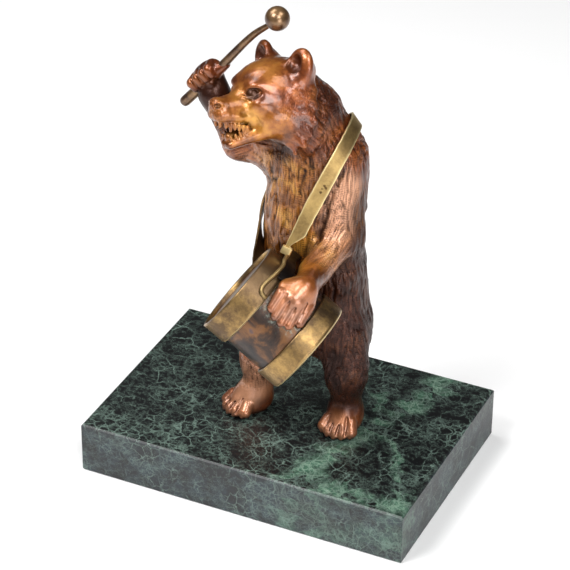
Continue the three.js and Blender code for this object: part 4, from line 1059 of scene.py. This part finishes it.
# %% A strip that narrows to a tongue
width = np.minimum(6.4, 5.6 + np.maximum(np.arange(FEW) - 2, 0) * 0.2)
fine = np.linspace(0, FEW - 1, MANY)
faces_out = unit(np.stack([np.interp(fine, np.arange(FEW), f) for f in facing.T], 1))
wide = np.interp(fine, np.arange(FEW), width)
section = filled(soft_outline([(-1, -1), (1, -1), (1, 1), (-1, 1)], 0.14), 0.18)
ragged = 0.22 * (speckle(path / 1.6 + 11) - 0.5)
tongue_end = 1 - between(length(path - path[0]), 2.5, 10)
half_wide = wide / 2 * (1 - 0.66 * tongue_end) + ragged
shape = section[None] * np.stack([half_wide, np.full(MANY, 0.45)], -1)[:, None]
shape = shape - np.stack([tongue_end * wide * 0.33, 0 * wide], -1)[:, None]
rows = close_ends(carried(path, faces_out, shape))
print(len(section), "points round the strip")

# %% Bright edges, a dull back and a few pits
worn = np.clip((np.abs(section[:, 0]) - 0.8) * 5, 0, 1)
# Darker, and without bright edges, along the run over the back and down behind the bear.
rear = between(np.concatenate([fine[:1], fine, fine[-1:]]), 20, 27)[:, None]
middle = path[np.argmin(length(path - (18.2, -10.4, 144.8)))]
pits = [(middle + p, 0.95, 1) for p in ((0, 0, 0), (0.9, 0.3, 1.3), (-0.2, -0.8, -1.5), (1.7, 0, 0.3))]
lay_on = unit(np.gradient(path, axis=0))[np.clip(np.arange(-1, MANY + 1), 0, MANY - 1), None]
grid_piece("strap", rows, strap_brass, "strap_brass", "shoulder_strap", edge=worn[None, :] * (1 - rear),
           hollow=np.maximum(rear, spots_on(rows, pits)), lay=lay_on)

# %% Keeper
run = unit(coarse[1] - coarse[0])
side = unit(np.cross(run, facing[0]))
ring = filled(soft_outline([(-1.9, -1.1), (1.9, -1.1), (1.9, 1.1), (-1.9, 1.1)], 0.6, 7), 0.3)
loop = KEEPER + run * 0.6 + side * (ring[:, :1] - 1.6) + np.cross(side, run) * ring[:, 1:]
around = unit(np.roll(loop, -1, 0) - np.roll(loop, 1, 0))
section = soft_outline([(-1.6, -0.32), (1.6, -0.32), (1.6, 0.32), (-1.6, 0.32)], 0.2)
outwards = np.cross(around, run)
rows = loop[:, None] + run * section[:, :1][None] + outwards[:, None] * section[None, :, 1:]
grid_piece("keeper_ring", rows, strap_brass, "strap_brass", "strap_keeper", closed=True, edge=0.4,
           hollow=0.2)

# %% Dark plate
guides = [(9.4, 140, 26.6), (10.6, 128, 24.4), (10.8, 118, 23.3), (10, 109, 23), (9, 98, 22.6),
          (8.4, 88, 22.2), (8, 79, 22)]
PLATE_POINTS = 60
tab_row = smooth_row([on_drum(*p) for p in guides], PLATE_POINTS)
section = filled(soft_outline([(-2.7, -0.4), (2.7, -0.4), (2.7, 0.4), (-2.7, 0.4)], 0.2), 0.4)
plate_out = np.stack([off_drum(124 - a) for a in np.linspace(0, 45, PLATE_POINTS)])
rows = carried(tab_row, plate_out, section)
grid_piece("dark_plate", close_ends(rows), black_brass, "tab_dark", "strap_tab", edge=0.0, hollow=0.0)

# %% Hook
guides = [(12.9, 106, 25.2), (13, 97, 24.9), (12.2, 91, 24.4), (12.3, 82, 23.8), (12.7, 74, 23.2),
          (13.1, 68, 22.8), (13.3, 62, 22.5), (13.1, 56.7, 22.4), (12.2, 53.2, 22.3), (10.6, 52, 22),
          (9.2, 52.5, 21.2)]
HOOK_POINTS, WIRE = 140, 0.85
hook_row = smooth_row([on_drum(*p) for p in guides], HOOK_POINTS)
a = np.linspace(0, 2 * np.pi, 14, endpoint=False)
section = np.stack([np.cos(a), np.sin(a)], 1) * WIRE
s = np.linspace(0, 1, HOOK_POINTS)
blunt = np.sqrt(np.clip(1 - np.clip(1 - np.minimum(s, 1 - s) * 60, 0, 1) ** 2, 0.05, 1))
rows = carried(hook_row, hook_row - DRUM[0], section, blunt)
grid_piece("hook_wire", close_ends(rows), strap_brass, "strap_brass", "drum_hook", edge=0.1, hollow=0.55)

# %% [markdown]
# ## The drumstick
# The stick is cast in one with its ball: a thin bar that bends a little and swells to a rounded butt. It
# could be a bent cylinder and a sphere, but the join would show, so it is one round section carried along
# a path, whose radius follows the bar and then the circle of the ball. It is brown bronze that fingers
# have polished, so one long highlight runs down it.

# %% Path and radius of the stick
guides = np.array([(-52.7, 5, 158.6), (-41.7, 5, 171.3), (-35.9, 5, 178.5), (-20.3, 5, 197.6),
                   (-13.4, 5, 203.6), (-11.2, 5, 205.8)])
BAR_POINTS = 120
bar = smooth_row(guides, BAR_POINTS)
ball, ball_size = np.array((-9.7, 5, 207.3)), 5.1
way_on = unit(ball - guides[-2])
last = ball - way_on * ball_size
bar = bar[(bar - last) @ way_on < -0.05]
lat = np.linspace(0.16, np.pi, 40)
on_ball = ball - np.cos(lat)[:, None] * way_on * ball_size
path = np.vstack([bar, on_ball])
t = np.linspace(0, len(guides) - 1, BAR_POINTS)[:len(bar)]
radius = np.interp(t, np.arange(6), [2.3, 2.3, 2.0, 1.45, 1.15, 1.1])
butt = np.interp(np.arange(len(bar)), [0, 1, 2, 3], [0, 0.86, 0.96, 1])
radius = np.concatenate([radius * butt, np.maximum(np.sin(lat) * ball_size, 0)])
print("the stick is", length(np.diff(path, axis=0)).sum().round(), "mm long along its middle")

# %% Finish and skin of the stick
a = np.linspace(0, 2 * np.pi, 32, endpoint=False)
run = unit(np.gradient(path, axis=0))
run[len(bar):] = way_on
side = np.cross(run, (0, 1, 0))
rows = (path[:, None] + side[:, None] * (np.cos(a)[None, :, None] * radius[:, None, None])
        + np.array((0, 1, 0)) * (np.sin(a)[None, :, None] * radius[:, None, None]))
stick_bronze, add, mm = new_finish("polished_brown_bronze")
clouds = add("TexNoise", Vector=mm, Scale=1 / 6, Detail=5.0, Roughness=0.6)
colour = add("ValToRGB", clouds, stops=[(0.35, "#4E382C"), (0.65, "#93724E")])
close_finish(add, Base_Color=colour, Metallic=0.7, Roughness=0.3, Coat_Weight=0.4, Coat_Roughness=0.15)
grid_piece("stick_and_ball", rows, stick_bronze, "stick_bronze", "drumstick")

# %% [markdown]
# ## Serpentine marble
# The slab is a polished serpentine: nearly black fragments held in a net of pale green veins, with cloudy
# green bands towards its right-hand corners. The polish is old, so it mirrors only softly. A picture of
# stone would stop at the edges, and a pattern in space runs through them as real veins do. Cells with
# noise in their coordinates give the net at three sizes, from fragments of 9 mm down to splinters of 2
# mm, and each net fades in and out with a slower noise. Thin wisps and small broken patches of 5.5 mm
# fill the bands. The sides are painted darker, with weaker veins and clouds: painted shade on faces that
# the lights above reach less.

# %% Coordinates bent by noise
stone, add, mm = new_finish("serpentine_marble")
swirl = add("TexNoise", Vector=mm, Scale=1 / 9, Detail=8.0, Roughness=0.7)
shift = add("VectorMath.ADD", swirl.outputs["Color"], (-0.5, -0.5, -0.5))
bent = add("VectorMath.MULTIPLY_ADD", shift, (9, 9, 9), mm)
drift = add("TexNoise", Vector=mm, Scale=1 / 24, Detail=6.0, Roughness=0.7)
drift = add("VectorMath.ADD", drift.outputs["Color"], (-0.5, -0.5, -0.5))
drift = add("VectorMath.MULTIPLY_ADD", drift, (42, 42, 42), mm)
straight = add("VectorMath.MULTIPLY_ADD", shift, (6.5, 6.5, 6.5), mm)
drawn = add("Mapping", bent, Rotation=(0, 0, -0.3), Scale=(0.55, 1.0, 1.0))
print(len(stone.node_tree.nodes), "nodes bend the stone's coordinates")

# %% Green bands
bands = []
for (nx, ny), middle, wide in (((0.96, -0.28), 37, 9), ((0.06, 1.0), -45, 8), ((0.829, 0.559), 37, 3.5)):
    off = add("Math.SUBTRACT", add("VectorMath.DOT_PRODUCT", drift, (nx, ny, 0)), middle)
    bands.append(add("MapRange", add("Math.ABSOLUTE", off), 0.3 * wide, wide, 1.0, 0.0))
right = add("MapRange", add("SeparateXYZ", bent), 20.0, 34.0, 0.0, 1.0)
band = add("Math.MULTIPLY", add("Math.MAXIMUM", bands[1], bands[2]), right)
band = add("Math.MAXIMUM", bands[0], band)
print(len(bands), "green bands")

# %% Nets and wisps of veins
nets = []
for size, thick, spread in ((9, 0.035, 23), (4.5, 0.055, 15), (2.1, 0.1, 9)):
    way = drawn if size < 3 else straight
    cells = add("TexVoronoi", feature="DISTANCE_TO_EDGE", Vector=way, Scale=1 / size)
    line = add("MapRange", cells, 0.0, thick, 1.0, 0.0)
    fade = add("TexNoise", Vector=mm, Scale=1 / spread, Detail=4.0, Roughness=0.65)
    fade = add("MapRange", fade, 0.48, 0.6, 0.0, 1.0)
    fade = add("Math.MAXIMUM", fade, add("Math.MULTIPLY", band, 0.7))
    nets.append(add("Math.MULTIPLY", line, fade))
wisps = add("TexNoise", Vector=drawn, Scale=1 / 4.2, Detail=6.0, Roughness=0.68)
wisps = add("Math.ABSOLUTE", add("Math.SUBTRACT", wisps, 0.5))
wisps = add("MapRange", wisps, 0.0, 0.011, 0.75, 0.0)
veins = add("Math.MAXIMUM", add("Math.MAXIMUM", nets[0], nets[1]), wisps)
veins = add("Math.MAXIMUM", veins, add("Math.MULTIPLY", nets[2], 0.7))
print(len(nets), "nets of veins")

# %% Clouds, broken patches and colour
cloud = add("TexNoise", Vector=bent, Scale=1 / 9, Detail=8.0, Roughness=0.72)
shards = add("SeparateXYZ", add("TexVoronoi", Vector=drawn, Scale=1 / 5.5).outputs["Color"])
shards = add("MapRange", shards, 0.3, 0.36, 0.0, 1.0)
haze = add("MapRange", cloud, 0.56, 0.8, 0.0, 0.15)
mossy = add("Math.MULTIPLY", add("MapRange", cloud, 0.4, 0.58, 0.1, 1.0), shards)
mossy = add("Math.MULTIPLY", mossy, band)
# On the sides below the top the stone is painted darker, veins and clouds weaker: painted shade.
side = add("MapRange", add("SeparateXYZ", mm).outputs["Z"], 23.3, 23.9, 1.0, 0.0)
haze = add("Math.MULTIPLY", add("Math.MAXIMUM", haze, mossy), add("MapRange", side, 0.0, 1.0, 1.0, 0.5))
slate = add("ValToRGB", cloud, stops=[(0.42, "#05070A"), (0.62, "#1C2830")])
ground = add("Mix.RGBA", side, A=rgb("#07090A"), B=slate)
dark = add("Mix.RGBA", haze, A=ground, B=rgb("#456855"))
vein = add("Mix.RGBA", haze, A=rgb("#7C9488"), B=rgb("#9DB5A2"))
veins = add("Math.MULTIPLY", veins, add("MapRange", side, 0.0, 1.0, 0.8, 0.5))
colour = add("Mix.RGBA", veins, A=dark, B=vein)
close_finish(add, Base_Color=colour, Roughness=0.42, IOR=1.55)
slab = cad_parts["marble_base"]
slab.data.materials.clear()
slab.data.materials.append(stone)

# %% [markdown]
# ## Floor and light
# The floor is plain and pale. Six wide soft lights stand where a studio has them: two in front to left
# and right, one on each side, a weak one behind, and a low one that draws a long highlight down arm and
# strap. The world adds a faint pale glow, so that no metal reflects pure black.

# %% Floor
bpy.ops.mesh.primitive_plane_add(size=6)
floor = bpy.context.object
floor.name = "floor"
paper, add, mm = new_finish("pale_paper")
close_finish(add, Base_Color=rgb("#FAFAFA"), Roughness=0.9)
floor.data.materials.append(paper)

print("floor", list(floor.dimensions[:2]), "m")

# %% Lights
def soft_light(name, at, aim, size, tall, power):
    """A light of a given width and height in metres that looks at a point."""
    data = bpy.data.lights.new(name, "AREA")
    data.shape, data.size, data.size_y = "RECTANGLE", size, tall
    data.energy = power
    light = bpy.data.objects.new(name, data)
    bpy.context.scene.collection.objects.link(light)
    back = unit(np.subtract(at, aim))
    side = unit(np.cross((0, 0, 1), back))
    turned = np.column_stack([side, np.cross(back, side), back, at])
    light.matrix_world = Matrix(turned.tolist() + [[0, 0, 0, 1]])

AWAY, aim = 1.2, (0, 0, 0.1)
for name, turn, lift, size, tall, power in (
        ("key", -30, 52, 0.45, 0.45, 10.5), ("right", 42, 45, 0.45, 0.45, 7.5),
        ("side_right", 92, 60, 0.5, 0.5, 4), ("side_left", -82, 52, 0.5, 0.5, 4),
        ("back", -112, 62, 0.4, 0.4, 2.5), ("low", 46, 9, 0.6, 0.45, 5)):
    a, e = np.radians((turn, lift))
    place_at = AWAY * np.array((np.sin(a) * np.cos(e), -np.cos(a) * np.cos(e), np.sin(e))) + aim
    soft_light(name, place_at, aim, size, tall, power)
print("six lights,", AWAY, "m from the bear's belly")

# %% World
world = bpy.data.worlds.new("studio")
bpy.context.scene.world = world
world.use_nodes = True
sky = world.node_tree.nodes["Background"].inputs
sky["Color"].default_value, sky["Strength"].default_value = rgb("#FFFFFF"), 0.05
bpy.context.scene.view_settings.view_transform = "Standard"
print("a pale world of strength", round(sky["Strength"].default_value, 2))
